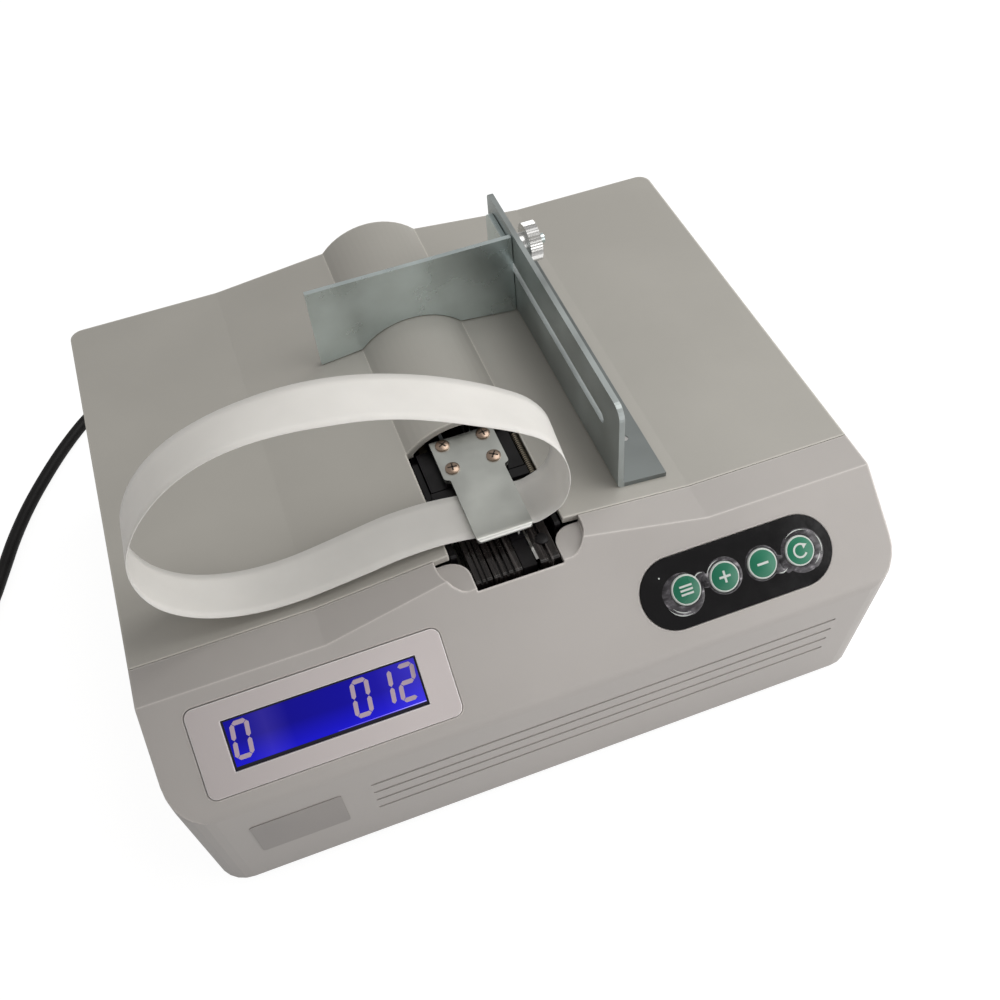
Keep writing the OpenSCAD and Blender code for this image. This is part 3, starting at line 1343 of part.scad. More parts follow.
case_shell();
base_plate();
feet();
case_screws();
lid();
hinge_pins();
guide_rail();
guide_screws();
stop_plate();
thumb_nut();
display_bezel();
display_glass();
display_module();
key_plate();
key_board();
button(0);  // function_button
button(1);  // plus_button
button(2);  // minus_button
button(3);  // reset_button
head_plate_left();
head_plate_right();
cross_bars();
slide_rods();
anvil_plate();
anvil_carriage();
anvil_screws();
solenoid();
solenoid_shelf();
press_guide();
left_clamp();
heater_block();
right_clamp();
cutter_blade();
tape_nozzle();
tape_chute();
camshaft();
cam_bushes();
cam_motor();
motor_brackets();
feed_frame();
feed_roller();
feed_gear();
pinch_arm();
pinch_roller();
feed_motor();
motor_pinion();
roll_bracket();
roll_hub();
paper_roll();
tape_run();
band_loop();
control_board();
transformer();
power_switch();
switch_rocker();
strain_relief();
cord();
cord_coil();
cord_tail();
plug();
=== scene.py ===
# Strapping machine for banknotes: finishes, display, keys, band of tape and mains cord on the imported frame.
import json
import math

import bmesh
import bpy
from mathutils import Matrix, Vector


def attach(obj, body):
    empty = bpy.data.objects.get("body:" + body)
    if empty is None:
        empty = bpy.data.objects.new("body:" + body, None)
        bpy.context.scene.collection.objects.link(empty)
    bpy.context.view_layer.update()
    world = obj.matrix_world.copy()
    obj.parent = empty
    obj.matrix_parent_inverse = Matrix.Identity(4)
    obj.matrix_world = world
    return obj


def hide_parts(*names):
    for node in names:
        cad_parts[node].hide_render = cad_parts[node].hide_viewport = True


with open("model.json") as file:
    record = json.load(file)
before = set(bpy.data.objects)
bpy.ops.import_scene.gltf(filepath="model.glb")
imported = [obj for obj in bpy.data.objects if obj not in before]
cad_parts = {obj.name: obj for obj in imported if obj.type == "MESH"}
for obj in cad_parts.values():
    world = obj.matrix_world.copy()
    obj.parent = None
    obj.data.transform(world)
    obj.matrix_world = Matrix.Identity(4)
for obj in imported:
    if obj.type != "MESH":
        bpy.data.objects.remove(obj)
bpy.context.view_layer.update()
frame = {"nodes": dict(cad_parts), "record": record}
nodes = frame["nodes"]
print("frame loaded:", len(nodes), "nodes")

camera = {  # the photograph's viewpoint
    "place": (-0.062896, -0.286961, 0.406988),
    "right": (0.93844, -0.33969, -0.06281),
    "up": (0.30140, 0.71627, 0.62938),
    "back": (-0.16881, -0.60956, 0.77456),
    "lens": 40.917,
}


def makeCamera(c):
    data = bpy.data.cameras.new("camera")
    data.sensor_width = 36
    data.lens = c["lens"]
    data.clip_start = 0.01
    data.clip_end = 20
    obj = bpy.data.objects.new("camera", data)
    bpy.context.scene.collection.objects.link(obj)
    axes = Matrix((c["right"], c["up"], c["back"])).transposed().to_4x4()
    obj.matrix_world = Matrix.Translation(c["place"]) @ axes
    bpy.context.scene.camera = obj


makeCamera(camera)


def moved(x, y, z):
    return Matrix.Translation((x, y, z))


def turned(degrees, axis="Z"):
    return Matrix.Rotation(math.radians(degrees), 4, axis)


def softenBy(obj, degrees):
    bpy.context.view_layer.objects.active = obj
    with bpy.context.temp_override(object=obj, active_object=obj, selected_editable_objects=[obj]):
        bpy.ops.object.shade_smooth_by_angle(angle=math.radians(degrees))


def addPiece(name, bm, finish, body, smooth=True):
    mesh = bpy.data.meshes.new(name)
    bmesh.ops.recalc_face_normals(bm, faces=bm.faces)
    bm.to_mesh(mesh)
    bm.free()
    obj = bpy.data.objects.new(name, mesh)
    bpy.context.scene.collection.objects.link(obj)
    mesh.materials.append(finish)
    for face in mesh.polygons:
        face.use_smooth = smooth
    if smooth:
        softenBy(obj, 35)
    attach(obj, body)
    return obj


panel = {"tilt": 39.5, "y": -0.0779775, "z": 0.097}  # sloped front panel, place of its upper edge


def onPanel(x, down, out=0.0):  # down the slope from its upper edge, and out of it
    tilt = math.radians(panel["tilt"])
    place = moved(x, panel["y"] - down * math.cos(tilt), panel["z"] - down * math.sin(tilt))
    return place @ turned(panel["tilt"], "X") @ moved(0, 0, out)


def disc(bm, radius, depth, place, steps=48, narrow=None):
    made = bmesh.ops.create_cone(bm, cap_ends=True, segments=steps, radius1=radius,
                                 radius2=radius if narrow is None else narrow, depth=depth)
    bmesh.ops.transform(bm, matrix=place @ moved(0, 0, depth / 2), verts=made["verts"])


def bar(bm, width, height, depth, place):
    made = bmesh.ops.create_cube(bm, size=1)
    scale = Matrix.Diagonal((width, height, depth, 1))
    bmesh.ops.transform(bm, matrix=place @ moved(0, 0, depth / 2) @ scale, verts=made["verts"])


def startFinish(name, color, roughness, metallic=0.0):
    finish = bpy.data.materials.new(name)
    finish.use_nodes = True
    tree = finish.node_tree
    shader = tree.nodes["Principled BSDF"]
    shader.inputs["Base Color"].default_value = (*color, 1)
    shader.inputs["Roughness"].default_value = roughness
    shader.inputs["Metallic"].default_value = metallic
    coords = tree.nodes.new("ShaderNodeTexCoord")
    return finish, tree, shader, coords


def addNoise(tree, coords, scale, detail=3.0, stretch=(1, 1, 1)):
    place = tree.nodes.new("ShaderNodeMapping")
    place.inputs["Scale"].default_value = stretch
    noise = tree.nodes.new("ShaderNodeTexNoise")
    noise.inputs["Scale"].default_value = scale
    noise.inputs["Detail"].default_value = detail
    tree.links.new(coords.outputs["Object"], place.inputs["Vector"])
    tree.links.new(place.outputs["Vector"], noise.inputs["Vector"])
    return noise.outputs["Fac"]


def addRamp(tree, source, low, high, fromValue=0.35, toValue=0.65):
    ramp = tree.nodes.new("ShaderNodeValToRGB")
    ramp.color_ramp.elements[0].position = fromValue
    ramp.color_ramp.elements[1].position = toValue
    ramp.color_ramp.elements[0].color = (*low, 1)
    ramp.color_ramp.elements[1].color = (*high, 1)
    tree.links.new(source, ramp.inputs["Fac"])
    return ramp.outputs["Color"]


def colorsAlong(tree, source, stops):
    ramp = tree.nodes.new("ShaderNodeValToRGB")
    elements = ramp.color_ramp.elements
    while len(elements) < len(stops):
        elements.new(1)
    for element, (place, color) in zip(elements, stops):
        element.position = place
        element.color = (*color, 1)
    tree.links.new(source, ramp.inputs["Fac"])
    return ramp.outputs["Color"]


def addRange(tree, source, low, high, fromValue=0.3, toValue=0.7):
    span = tree.nodes.new("ShaderNodeMapRange")
    span.inputs["From Min"].default_value = fromValue
    span.inputs["From Max"].default_value = toValue
    span.inputs["To Min"].default_value = low
    span.inputs["To Max"].default_value = high
    tree.links.new(source, span.inputs["Value"])
    return span.outputs["Result"]


def addBump(tree, shader, source, strength, distance):
    bump = tree.nodes.new("ShaderNodeBump")
    bump.inputs["Strength"].default_value = strength
    bump.inputs["Distance"].default_value = distance
    tree.links.new(source, bump.inputs["Height"])
    tree.links.new(bump.outputs["Normal"], shader.inputs["Normal"])
    return bump


def placeAlong(tree, coords, axis):
    split = tree.nodes.new("ShaderNodeSeparateXYZ")
    tree.links.new(coords, split.inputs[0])
    return split.outputs[axis]


def blendTo(tree, factor, base, color, kind="MIX"):
    mix = tree.nodes.new("ShaderNodeMix")
    mix.data_type = "RGBA"
    mix.blend_type = kind
    mix.inputs["B"].default_value = (*color, 1)
    tree.links.new(factor, mix.inputs["Factor"])
    tree.links.new(base, mix.inputs["A"])
    return mix.outputs["Result"]


# bevelled normals round the edges; the colour is lightened along edges and folds as a painted highlight
def softEdgesAndPaintedHighlight(tree, shader, coords, bump, clouds, radius, paintedHighlight):
    bevel = tree.nodes.new("ShaderNodeBevel")
    bevel.samples = 6
    height = placeAlong(tree, coords.outputs["Object"], "Z")
    aboveGrooves = addRange(tree, height, 0, radius, 0.066, 0.068)
    tree.links.new(aboveGrooves, bevel.inputs["Radius"])
    tree.links.new(bevel.outputs["Normal"], bump.inputs["Normal"])
    flat = tree.nodes.new("ShaderNodeNewGeometry")
    turn = tree.nodes.new("ShaderNodeVectorMath")
    turn.operation = "DOT_PRODUCT"
    tree.links.new(bevel.outputs["Normal"], turn.inputs[0])
    tree.links.new(flat.outputs["Normal"], turn.inputs[1])
    edge = addRange(tree, turn.outputs["Value"], 1, 0, 0.93, 0.995)
    tree.links.new(blendTo(tree, edge, clouds, paintedHighlight), shader.inputs["Base Color"])


def mouldedPlastic(name, color, roughness=0.5, grain=2200, tint=0.05, bump=0.25, edge=0.0):
    finish, tree, shader, coords = startFinish(name, color, roughness)
    cloud = addNoise(tree, coords, 18, 4)
    low = [c * (1 - tint) for c in color]
    high = [min(1, c * (1 + tint)) for c in color]
    clouds = addRamp(tree, cloud, low, high)
    tree.links.new(clouds, shader.inputs["Base Color"])
    fine = addNoise(tree, coords, grain, 2)
    tree.links.new(addRange(tree, cloud, roughness - 0.06, roughness + 0.06), shader.inputs["Roughness"])
    made = addBump(tree, shader, fine, bump, 0.00012)
    if edge:
        # painted highlight: edges and folds lightened to 1.75 times the colour
        softEdgesAndPaintedHighlight(tree, shader, coords, made, clouds, edge, [min(1, c * 1.75) for c in color])
    return finish


def platedSheet(name, color, roughness=0.32, streak=(1, 14, 1), tint=0.12):
    finish, tree, shader, coords = startFinish(name, color, roughness, 1.0)
    brushed = addNoise(tree, coords, 260, 3, streak)
    cloud = addNoise(tree, coords, 42, 5)
    low = [c * (1 - tint) for c in color]
    high = [min(1, c * (1 + tint)) for c in color]
    tree.links.new(addRamp(tree, cloud, low, high, 0.3, 0.7), shader.inputs["Base Color"])
    tree.links.new(addRange(tree, cloud, roughness - 0.08, roughness + 0.12), shader.inputs["Roughness"])
    addBump(tree, shader, brushed, 0.12, 0.00006)
    return finish


def polishedSteel(name, color, roughness=0.16):
    finish, tree, shader, coords = startFinish(name, color, roughness, 1.0)
    lines = addNoise(tree, coords, 500, 2, (8, 1, 1))
    cloud = addNoise(tree, coords, 70, 4)
    tree.links.new(addRange(tree, cloud, roughness - 0.05, roughness + 0.12), shader.inputs["Roughness"])
    addBump(tree, shader, lines, 0.06, 0.00004)
    return finish


def blackenedSteel(name, color=(0.0035, 0.003, 0.0035), roughness=0.34):
    finish, tree, shader, coords = startFinish(name, color, roughness, 0.0)
    worn = addNoise(tree, coords, 120, 6)
    scuffed = [c * 3.2 for c in color]
    tree.links.new(addRamp(tree, worn, color, scuffed, 0.45, 0.8), shader.inputs["Base Color"])
    tree.links.new(addRange(tree, worn, roughness - 0.1, roughness + 0.14), shader.inputs["Roughness"])
    shader.inputs["Specular IOR Level"].default_value = 0.3
    addBump(tree, shader, addNoise(tree, coords, 900, 2), 0.15, 0.00005)
    return finish


def softRubber(name, color=(0.014, 0.014, 0.015), roughness=0.55, shine=0.5):
    finish, tree, shader, coords = startFinish(name, color, roughness)
    shader.inputs["Specular IOR Level"].default_value = shine
    dust = addNoise(tree, coords, 60, 5)
    dusty = [c * 2.2 for c in color]
    tree.links.new(addRamp(tree, dust, color, dusty, 0.4, 0.8), shader.inputs["Base Color"])
    addBump(tree, shader, addNoise(tree, coords, 1500, 2), 0.2, 0.00006)
    return finish


def tapePaper(name, color=(0.76, 0.74, 0.70)):
    finish, tree, shader, coords = startFinish(name, color, 0.62)
    fibre = addNoise(tree, coords, 900, 5, (1, 2.5, 1))
    cloud = addNoise(tree, coords, 40, 3)
    low = [c * 0.96 for c in color]
    high = [min(1, c * 1.03) for c in color]
    tree.links.new(addRamp(tree, cloud, low, high), shader.inputs["Base Color"])
    shader.inputs["Subsurface Weight"].default_value = 0.35
    shader.inputs["Subsurface Radius"].default_value = (1, 0.95, 0.9)
    shader.inputs["Subsurface Scale"].default_value = 0.0015
    shader.inputs["Sheen Weight"].default_value = 0.08
    addBump(tree, shader, fibre, 0.18, 0.00004)
    return finish


def glossyFilm():
    finish, tree, shader, coords = startFinish("blackFilm", (0.0045, 0.0042, 0.0048), 0.16)
    shader.inputs["Specular IOR Level"].default_value = 0.3
    wave = addNoise(tree, coords, 140, 3)
    tree.links.new(addRange(tree, wave, 0.08, 0.24), shader.inputs["Roughness"])
    addBump(tree, shader, wave, 0.25, 0.0004)
    return finish


def clearFilm():
    finish, tree, shader, coords = startFinish("clearFilm", (0.03, 0.027, 0.031), 0.18)
    creaseGlint = addNoise(tree, coords, 300, 5, (1, 1.8, 1.8))
    # tone follows the creases; its lightest spots are painted glints
    tree.links.new(colorsAlong(tree, creaseGlint, [
        (0.3, (0.012, 0.011, 0.013)), (0.5, (0.05, 0.046, 0.052)), (0.6, (0.1, 0.095, 0.105)),
        (0.68, (0.3, 0.28, 0.3)),
    ]), shader.inputs["Base Color"])
    addBump(tree, shader, creaseGlint, 0.5, 0.0005)
    return finish


def blueDisplay():
    finish, tree, shader, coords = startFinish("blueDisplay", (0.002, 0.002, 0.02), 0.3)
    shader.inputs["Specular IOR Level"].default_value = 0.12
    x = placeAlong(tree, coords.outputs["Object"], "X")
    across = addRange(tree, x, 0, 1, -0.1067, -0.0417)
    glow = colorsAlong(tree, across, [
        (0, (0.004, 0.003, 0.3)), (0.09, (0.007, 0.005, 0.25)), (0.2, (0.026, 0.018, 0.28)),
        (0.32, (0.004, 0.002, 0.24)), (0.6, (0.004, 0.002, 0.28)), (0.78, (0.01, 0.006, 0.33)),
        (0.9, (0.028, 0.02, 0.42)), (1, (0.042, 0.032, 0.5)),
    ])
    low = addRange(tree, placeAlong(tree, coords.outputs["Object"], "Z"), 1, 0, 0.0785, 0.0835)
    lit = blendTo(tree, low, glow, (0.004, 0.004, 0.3), "ADD")
    tree.links.new(lit, shader.inputs["Emission Color"])
    shader.inputs["Emission Strength"].default_value = 1.0
    return finish


def glintLine():
    finish, tree, shader, coords = startFinish("glintLine", (0.1, 0.08, 0.4), 0.3)
    across = addRange(tree, placeAlong(tree, coords.outputs["Object"], "X"), 0, 1, -0.0724, -0.0424)
    glow = colorsAlong(tree, across, [
        (0, (0.01, 0.008, 0.5)), (0.5, (0.2, 0.14, 0.8)), (1, (0.6, 0.55, 1.0)),
    ])
    tree.links.new(glow, shader.inputs["Emission Color"])
    shader.inputs["Emission Strength"].default_value = 0.9
    return finish


def circuitBoard():
    finish, tree, shader, coords = startFinish("circuitBoard", (0.02, 0.13, 0.04), 0.35)
    cells = tree.nodes.new("ShaderNodeTexVoronoi")
    cells.inputs["Scale"].default_value = 420
    cells.feature = "DISTANCE_TO_EDGE"
    tree.links.new(coords.outputs["Object"], cells.inputs["Vector"])
    traces = addRamp(tree, cells.outputs["Distance"], (0.05, 0.24, 0.09), (0.012, 0.1, 0.03), 0.04, 0.09)
    tree.links.new(traces, shader.inputs["Base Color"])
    addBump(tree, shader, cells.outputs["Distance"], 0.1, 0.0001)
    return finish


def ribbedBlack():
    finish, tree, shader, coords = startFinish("ribbedBlack", (0.01, 0.009, 0.009), 0.22)
    lines = addNoise(tree, coords, 900, 2, (1, 0.02, 0.02))
    worn = addNoise(tree, coords, 60, 4)
    streak = colorsAlong(tree, lines, [
        (0.3, (0.006, 0.005, 0.005)), (0.56, (0.018, 0.014, 0.013)), (0.66, (0.07, 0.062, 0.06)),
        (0.72, (0.3, 0.28, 0.27)),
    ])
    tree.links.new(streak, shader.inputs["Base Color"])
    tree.links.new(addRange(tree, worn, 0.14, 0.34), shader.inputs["Roughness"])
    addBump(tree, shader, lines, 0.2, 0.0001)
    return finish


finishes = {  # by the record's material slots
    "housing_plastic": mouldedPlastic("housingPlastic", (0.45, 0.425, 0.405), 0.46, 2200, 0.03, 0.2, 0.0011),
    "bezel_plastic": mouldedPlastic("bezelPlastic", (0.60, 0.55, 0.545), 0.42, 2600, 0.025, 0.12, 0.0006),
    "zinc_sheet": platedSheet("zincSheet", (0.43, 0.465, 0.46), 0.48),
    "bright_steel": polishedSteel("brightSteel", (0.66, 0.66, 0.65), 0.2),
    "screws": polishedSteel("screwSteel", (0.58, 0.58, 0.57), 0.3),
    "copper_screws": platedSheet("copperPlate", (0.4, 0.3, 0.235), 0.3, (1, 1, 1), 0.25),
    "black_steel": blackenedSteel("blackSteel"),
    "motor_can": platedSheet("motorCan", (0.5, 0.51, 0.53), 0.4, (10, 1, 1)),
    "bronze": polishedSteel("bronze", (0.6, 0.42, 0.2), 0.34),
    "roller_rubber": softRubber("rollerRubber"),
    "nylon": mouldedPlastic("nylon", (0.72, 0.7, 0.62), 0.4, 1500, 0.03, 0.08),
    "hub_plastic": mouldedPlastic("hubPlastic", (0.035, 0.04, 0.05), 0.5, 1800, 0.1, 0.2),
    "paper": tapePaper("tapePaper"),
    "black_plastic": mouldedPlastic("blackPlastic", (0.014, 0.014, 0.015), 0.45, 1800, 0.2, 0.2),
    "rocker_red": mouldedPlastic("rockerRed", (0.45, 0.02, 0.015), 0.3, 1500, 0.05, 0.05),
    "cord_rubber": softRubber("cordJacket", (0.007, 0.0065, 0.0065), 0.5, 0.25),
    "button_green": mouldedPlastic("buttonGreen", (0.006, 0.16, 0.085), 0.32, 900, 0.12, 0.05),
    "core_steel": platedSheet("coreSteel", (0.2, 0.2, 0.21), 0.5, (1, 1, 60)),
    "black_film": glossyFilm(),
    "display": blueDisplay(),
    "circuit": circuitBoard(),
}
pressBlack = ribbedBlack()
ownFinishes = {  # nodes that look different from the rest of their slot
    "lid": mouldedPlastic("lidPlastic", (0.415, 0.4, 0.365), 0.46, 2200, 0.03, 0.2, 0.0012),
    "anvil_plate": platedSheet("anvilZinc", (0.52, 0.535, 0.505), 0.33, (1, 6, 1), 0.16),
    "stop_plate": platedSheet("stopZinc", (0.74, 0.83, 0.83), 0.28, (1, 14, 1), 0.1),
    "guide_rail": platedSheet("guideZinc", (0.43, 0.465, 0.46), 0.48),
    "slide_rods": platedSheet("rodSteel", (0.3, 0.27, 0.19), 0.34, (1, 1, 1)),
    "left_clamp": pressBlack,
    "heater_block": pressBlack,
    "right_clamp": pressBlack,
    "cross_bars": finishes["black_steel"],
    "tape_nozzle": finishes["black_steel"],
    "cutter_blade": finishes["bright_steel"],
}
whiteAndGlint = mouldedPlastic("whiteAndGlint", (0.6, 0.64, 0.61), 0.4, 900, 0.06, 0.02)


def reopen(finish):
    tree = finish.node_tree
    shader = tree.nodes["Principled BSDF"]
    coords = next(n for n in tree.nodes if n.bl_idname == "ShaderNodeTexCoord")
    return tree, shader, coords.outputs["Object"], shader.inputs["Base Color"].links[0].from_socket


def paintedShadeAcross(finish, left, right):  # painted shade changing across x: x and share of the colour, at both ends of the change
    tree, shader, coords, clouds = reopen(finish)
    share = addRange(tree, placeAlong(tree, coords, "X"), left[1], right[1], left[0], right[0])
    shaded = tree.nodes.new("ShaderNodeVectorMath")
    shaded.operation = "SCALE"
    tree.links.new(clouds, shaded.inputs[0])
    tree.links.new(share, shaded.inputs["Scale"])
    tree.links.new(shaded.outputs[0], shader.inputs["Base Color"])


def paintedLipHighlight(finish, front, back, color):  # painted highlight along the lip: y over which the bright edge fades into the sheet
    tree, shader, coords, clouds = reopen(finish)
    near = addRange(tree, placeAlong(tree, coords, "Y"), 1, 0, front, back)
    tree.links.new(blendTo(tree, near, clouds, color), shader.inputs["Base Color"])


# painted shade: bezel and housing darker towards the left, where less light falls
paintedShadeAcross(finishes["bezel_plastic"], (-0.115, 0.78), (-0.045, 1))
paintedShadeAcross(finishes["housing_plastic"], (-0.13, 0.86), (-0.02, 1))
wallSide = min(v.co.x for v in nodes["guide_rail"].data.vertices) + 0.0021
paintedShadeAcross(ownFinishes["guide_rail"], (wallSide, 1), (wallSide + 0.0006, 0.5))  # painted shade: its foot is darker
# painted highlight on the anvil's front lip
paintedLipHighlight(ownFinishes["anvil_plate"], -0.0622, -0.0608, (0.88, 0.89, 0.85))

for part in frame["record"]["subparts"]:
    mesh = nodes[part["node"]].data
    mesh.materials.clear()
    mesh.materials.append(ownFinishes.get(part["node"], finishes[part["material_slot"]]))

# mains cord: out of the rear, along the table, coiled beside the machine
cord = {  # width in metres, the rest in millimetres
    "width": 0.006,
    "start": (-100, 146, 24),
    "route": [
        (-100, 153, 24), (-102, 164, 20), (-109, 173, 13), (-121, 176, 6), (-135, 172, 3), (-149, 161, 3),
        (-161, 147, 3), (-172, 131, 3), (-182, 114, 3), (-190, 97, 3), (-196, 81, 3), (-202, 65, 3),
        (-209, 50, 3), (-214.5, 40, 3), (-216, 33, 3),
    ],
    "coilPlace": (-256.5, 20),
    "low": 3,
    "outer": 40.5,
    "pitch": 6.6,
    "turns": 2.5,
    "rings": 24,
    "clear": 0.8,
    "tail": [
        (-297, 33, 9.6), (-297, 44, 7), (-297, 55, 4), (-296, 65, 3), (-294, 75, 4.5), (-292, 83, 6.6),
        (-292, 89, 7),
    ],
    "end": (-292, 96, 7),
}


def between(a, b, c, d, t):  # share t of the way from b to c, on a smooth curve
    bend = (2 * a - 5 * b + 4 * c - d) * t * t + (3 * b - a - 3 * c + d) * t ** 3
    return 0.5 * (2 * b + (c - a) * t + bend)


def smoothed(points, steps):
    p = [Vector(q) for q in points]
    line = []
    for i in range(len(p) - 1):
        a, b, c, d = p[max(0, i - 1)], p[i], p[i + 1], p[min(len(p) - 1, i + 2)]
        line += [between(a, b, c, d, k / steps) for k in range(steps)]
    return line + [p[-1]]


def coilLine(c):
    inner = c["outer"] - c["pitch"] * c["turns"]
    line = []
    for i in range(int(c["rings"] * (2 * c["turns"] + 0.5)) + 1):
        turn = i / c["rings"]
        up = max(0, min(1, 2 * (turn - c["turns"])))
        if turn < c["turns"]:
            r = c["outer"] - c["pitch"] * turn
        elif turn > c["turns"] + 0.5:
            r = inner + c["pitch"] * (turn - c["turns"] - 0.5)
        else:
            r = inner - c["clear"] * math.sin(2 * math.pi * (turn - c["turns"]))  # clear of the turn below
        angle = -2 * math.pi * turn
        x = c["coilPlace"][0] + r * math.cos(angle)
        y = c["coilPlace"][1] + r * math.sin(angle)
        line.append(Vector((x, y, c["low"] + c["pitch"] * up)))
    return line


def makeCord(c):
    x, y = c["coilPlace"]
    intoCoil = (x + c["outer"], y + 6, c["low"])
    outOfCoil = (x - c["outer"], y + 6, c["low"] + c["pitch"])
    line = smoothed([c["start"], *c["route"], intoCoil], 4)
    line += coilLine(c)
    line += smoothed([outOfCoil, *c["tail"], c["end"]], 4)
    curve = bpy.data.curves.new("mainsCord", "CURVE")
    curve.dimensions = "3D"
    curve.bevel_depth = c["width"] / 2
    curve.bevel_resolution = 3
    curve.use_fill_caps = True
    spline = curve.splines.new("POLY")
    spline.points.add(len(line) - 1)
    for point, place in zip(spline.points, line):
        point.co = (*(place / 1000), 1)
    spline.use_smooth = True
    obj = bpy.data.objects.new("mainsCord", curve)
    bpy.context.scene.collection.objects.link(obj)
    curve.materials.append(finishes["cord_rubber"])
    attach(obj, "housing")
    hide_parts("cord", "cord_coil", "cord_tail")
    length = sum((b - a).length for a, b in zip(line, line[1:])) / 1000
    print("cord length", round(length, 3))


makeCord(cord)

# band of paper tape: one loop, twisted a little as it stands
band = {
    "front": -0.06028,
    "lid": 0.097,
    "width": 0.0198,
    "thick": 0.0003,
    "steps": 5,
    "across": 6,
    # front edge x and height above the lid, rear edge x and height, shift of both in y; in millimetres
    "points": [
        (-9, 5.7, -9, 5.7, 0.4), (0, 5.6, 0, 5.6, 0), (9, 5.5, 9, 5.6, -0.7), (13.8, 6.2, 14.2, 6, -1.2),
        (21.3, 12, 21.9, 11.3, -1.8), (23.9, 23.5, 25.1, 22.8, -2), (21.8, 35.3, 23.7, 34.7, -1.8),
        (15.7, 45.4, 17.6, 44.9, -1.3), (6.2, 52.7, 8.3, 52.5, -0.4), (-4, 59, -1.7, 59.2, 0),
        (-14.3, 65.1, -12.1, 65.2, 0.2), (-25, 70.5, -23, 70.2, 0.5), (-36.2, 74.7, -34.3, 74.3, 0.6),
        (-47.8, 77.7, -46, 77.3, 0.3), (-59.6, 79.8, -57.9, 78.6, 0.1), (-71.5, 80.3, -69.9, 78, 0),
        (-83.3, 78.3, -81.7, 75.7, 0), (-94.2, 73.4, -92.9, 71.3, 0), (-103.5, 65.9, -102.7, 64.3, 0),
        (-110.9, 56.5, -110.3, 55.1, 0), (-115.7, 45.6, -115.2, 44.2, 0), (-116.3, 33.7, -116.5, 32.3, 0),
        (-112.9, 22.2, -113.2, 20.8, 0), (-105.3, 13.1, -105.7, 11.4, 0), (-95, 7.1, -95.3, 5.4, 0),
        (-83.5, 4, -83.7, 2.5, 0), (-71.5, 3.4, -71.7, 2.2, 0), (-59.6, 4.4, -59.7, 3.7, 0.1),
        (-47.7, 5.8, -47.9, 5.6, 0.3), (-35.8, 7.2, -35.9, 7.2, 0.6), (-23.8, 7.3, -23.9, 7.2, 0.8),
        (-16, 6.6, -16, 6.5, 0.7),
    ],
}


def makeBand(b):
    count = len(b["points"])
    rows = []
    for i in range(count):
        near = [Vector(b["points"][(i + k) % count]) for k in (-1, 0, 1, 2)]
        rows += [between(*near, k / b["steps"]) for k in range(b["steps"])]
    bm = bmesh.new()
    grid = []
    for row in rows:
        line = []
        for k in range(b["across"] + 1):
            f = k / b["across"]
            x = row[0] * (1 - f) + row[2] * f
            z = row[1] * (1 - f) + row[3] * f
            y = b["front"] + b["width"] * f + row[4] / 1000
            line.append(bm.verts.new((x / 1000, y, b["lid"] + z / 1000)))
        grid.append(line)
    for i, line in enumerate(grid):
        after = grid[(i + 1) % len(grid)]
        for k in range(b["across"]):
            bm.faces.new((line[k], after[k], after[k + 1], line[k + 1]))
    mesh = bpy.data.meshes.new("bandOfTape")
    bmesh.ops.recalc_face_normals(bm, faces=bm.faces)
    bm.to_mesh(mesh)
    bm.free()
    obj = bpy.data.objects.new("bandOfTape", mesh)
    bpy.context.scene.collection.objects.link(obj)
    mesh.materials.append(finishes["paper"])
    for face in mesh.polygons:
        face.use_smooth = True
    wall = obj.modifiers.new("wall", "SOLIDIFY")
    wall.thickness = b["thick"]
    wall.offset = 0
    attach(obj, "housing")
    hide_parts("band_loop")


makeBand(band)

# display: face, digits, dark rim and a glint along the lower edge
display = {
    "x": -0.0742,
    "down": 0.02065,
    "width": 0.065,
    "height": 0.017,
    "top": -0.00098,
    "rims": {"top": 0.00075, "right": 0.00065, "bottom": 0.0012, "left": 0.0007},
    "digits": [(-0.1019, "abcdef"), (-0.0621, "abcdef"), (-0.0543, "bc"), (-0.0465, "abged")],
    "digitDown": 0.0199,
    "digitWidth": 0.0048,
    "digitHeight": 0.0111,
    "stroke": 0.0015,
    "gap": 0.00012,
    "slant": 0.105,
    "glint": {"x": -0.0574, "down": 0.02775, "width": 0.030, "height": 0.00022},
}


def segmentOutline(start, end, half):
    along = (end - start).normalized()
    side = Vector((-along.y, along.x)) * half
    return [start, start + along * half + side, end - along * half + side,
            end, end - along * half - side, start + along * half - side]


def addDigits(bm, d):
    w, h = d["digitWidth"] / 2, d["digitHeight"] / 2
    strokes = {  # the seven segments, from end to end
        "a": ((-w, h), (w, h)), "b": ((w, 0), (w, h)), "c": ((w, -h), (w, 0)), "d": ((-w, -h), (w, -h)),
        "e": ((-w, -h), (-w, 0)), "f": ((-w, 0), (-w, h)), "g": ((-w, 0), (w, 0)),
    }
    for x, lit in d["digits"]:
        for name in lit:
            start, end = (Vector(c) for c in strokes[name])
            trim = (end - start).normalized() * d["gap"]
            verts = []
            for point in segmentOutline(start + trim, end - trim, d["stroke"] / 2):
                across = x + point.x + d["slant"] * point.y
                place = onPanel(across, d["digitDown"] - point.y, d["top"] + 0.00004)
                verts.append(bm.verts.new(place.to_translation()))
            bm.faces.new(verts)


def addRim(bm, d):
    rims = d["rims"]
    left, right = d["x"] - d["width"] / 2, d["x"] + d["width"] / 2
    high, low = d["down"] - d["height"] / 2, d["down"] + d["height"] / 2
    bar(bm, d["width"], rims["top"], 0.0003, onPanel(d["x"], high + rims["top"] / 2, d["top"]))
    bar(bm, d["width"], rims["bottom"], 0.0003, onPanel(d["x"], low - rims["bottom"] / 2, d["top"]))
    bar(bm, rims["left"], d["height"], 0.00032, onPanel(left + rims["left"] / 2, d["down"], d["top"]))
    bar(bm, rims["right"], d["height"], 0.00032, onPanel(right - rims["right"] / 2, d["down"], d["top"]))


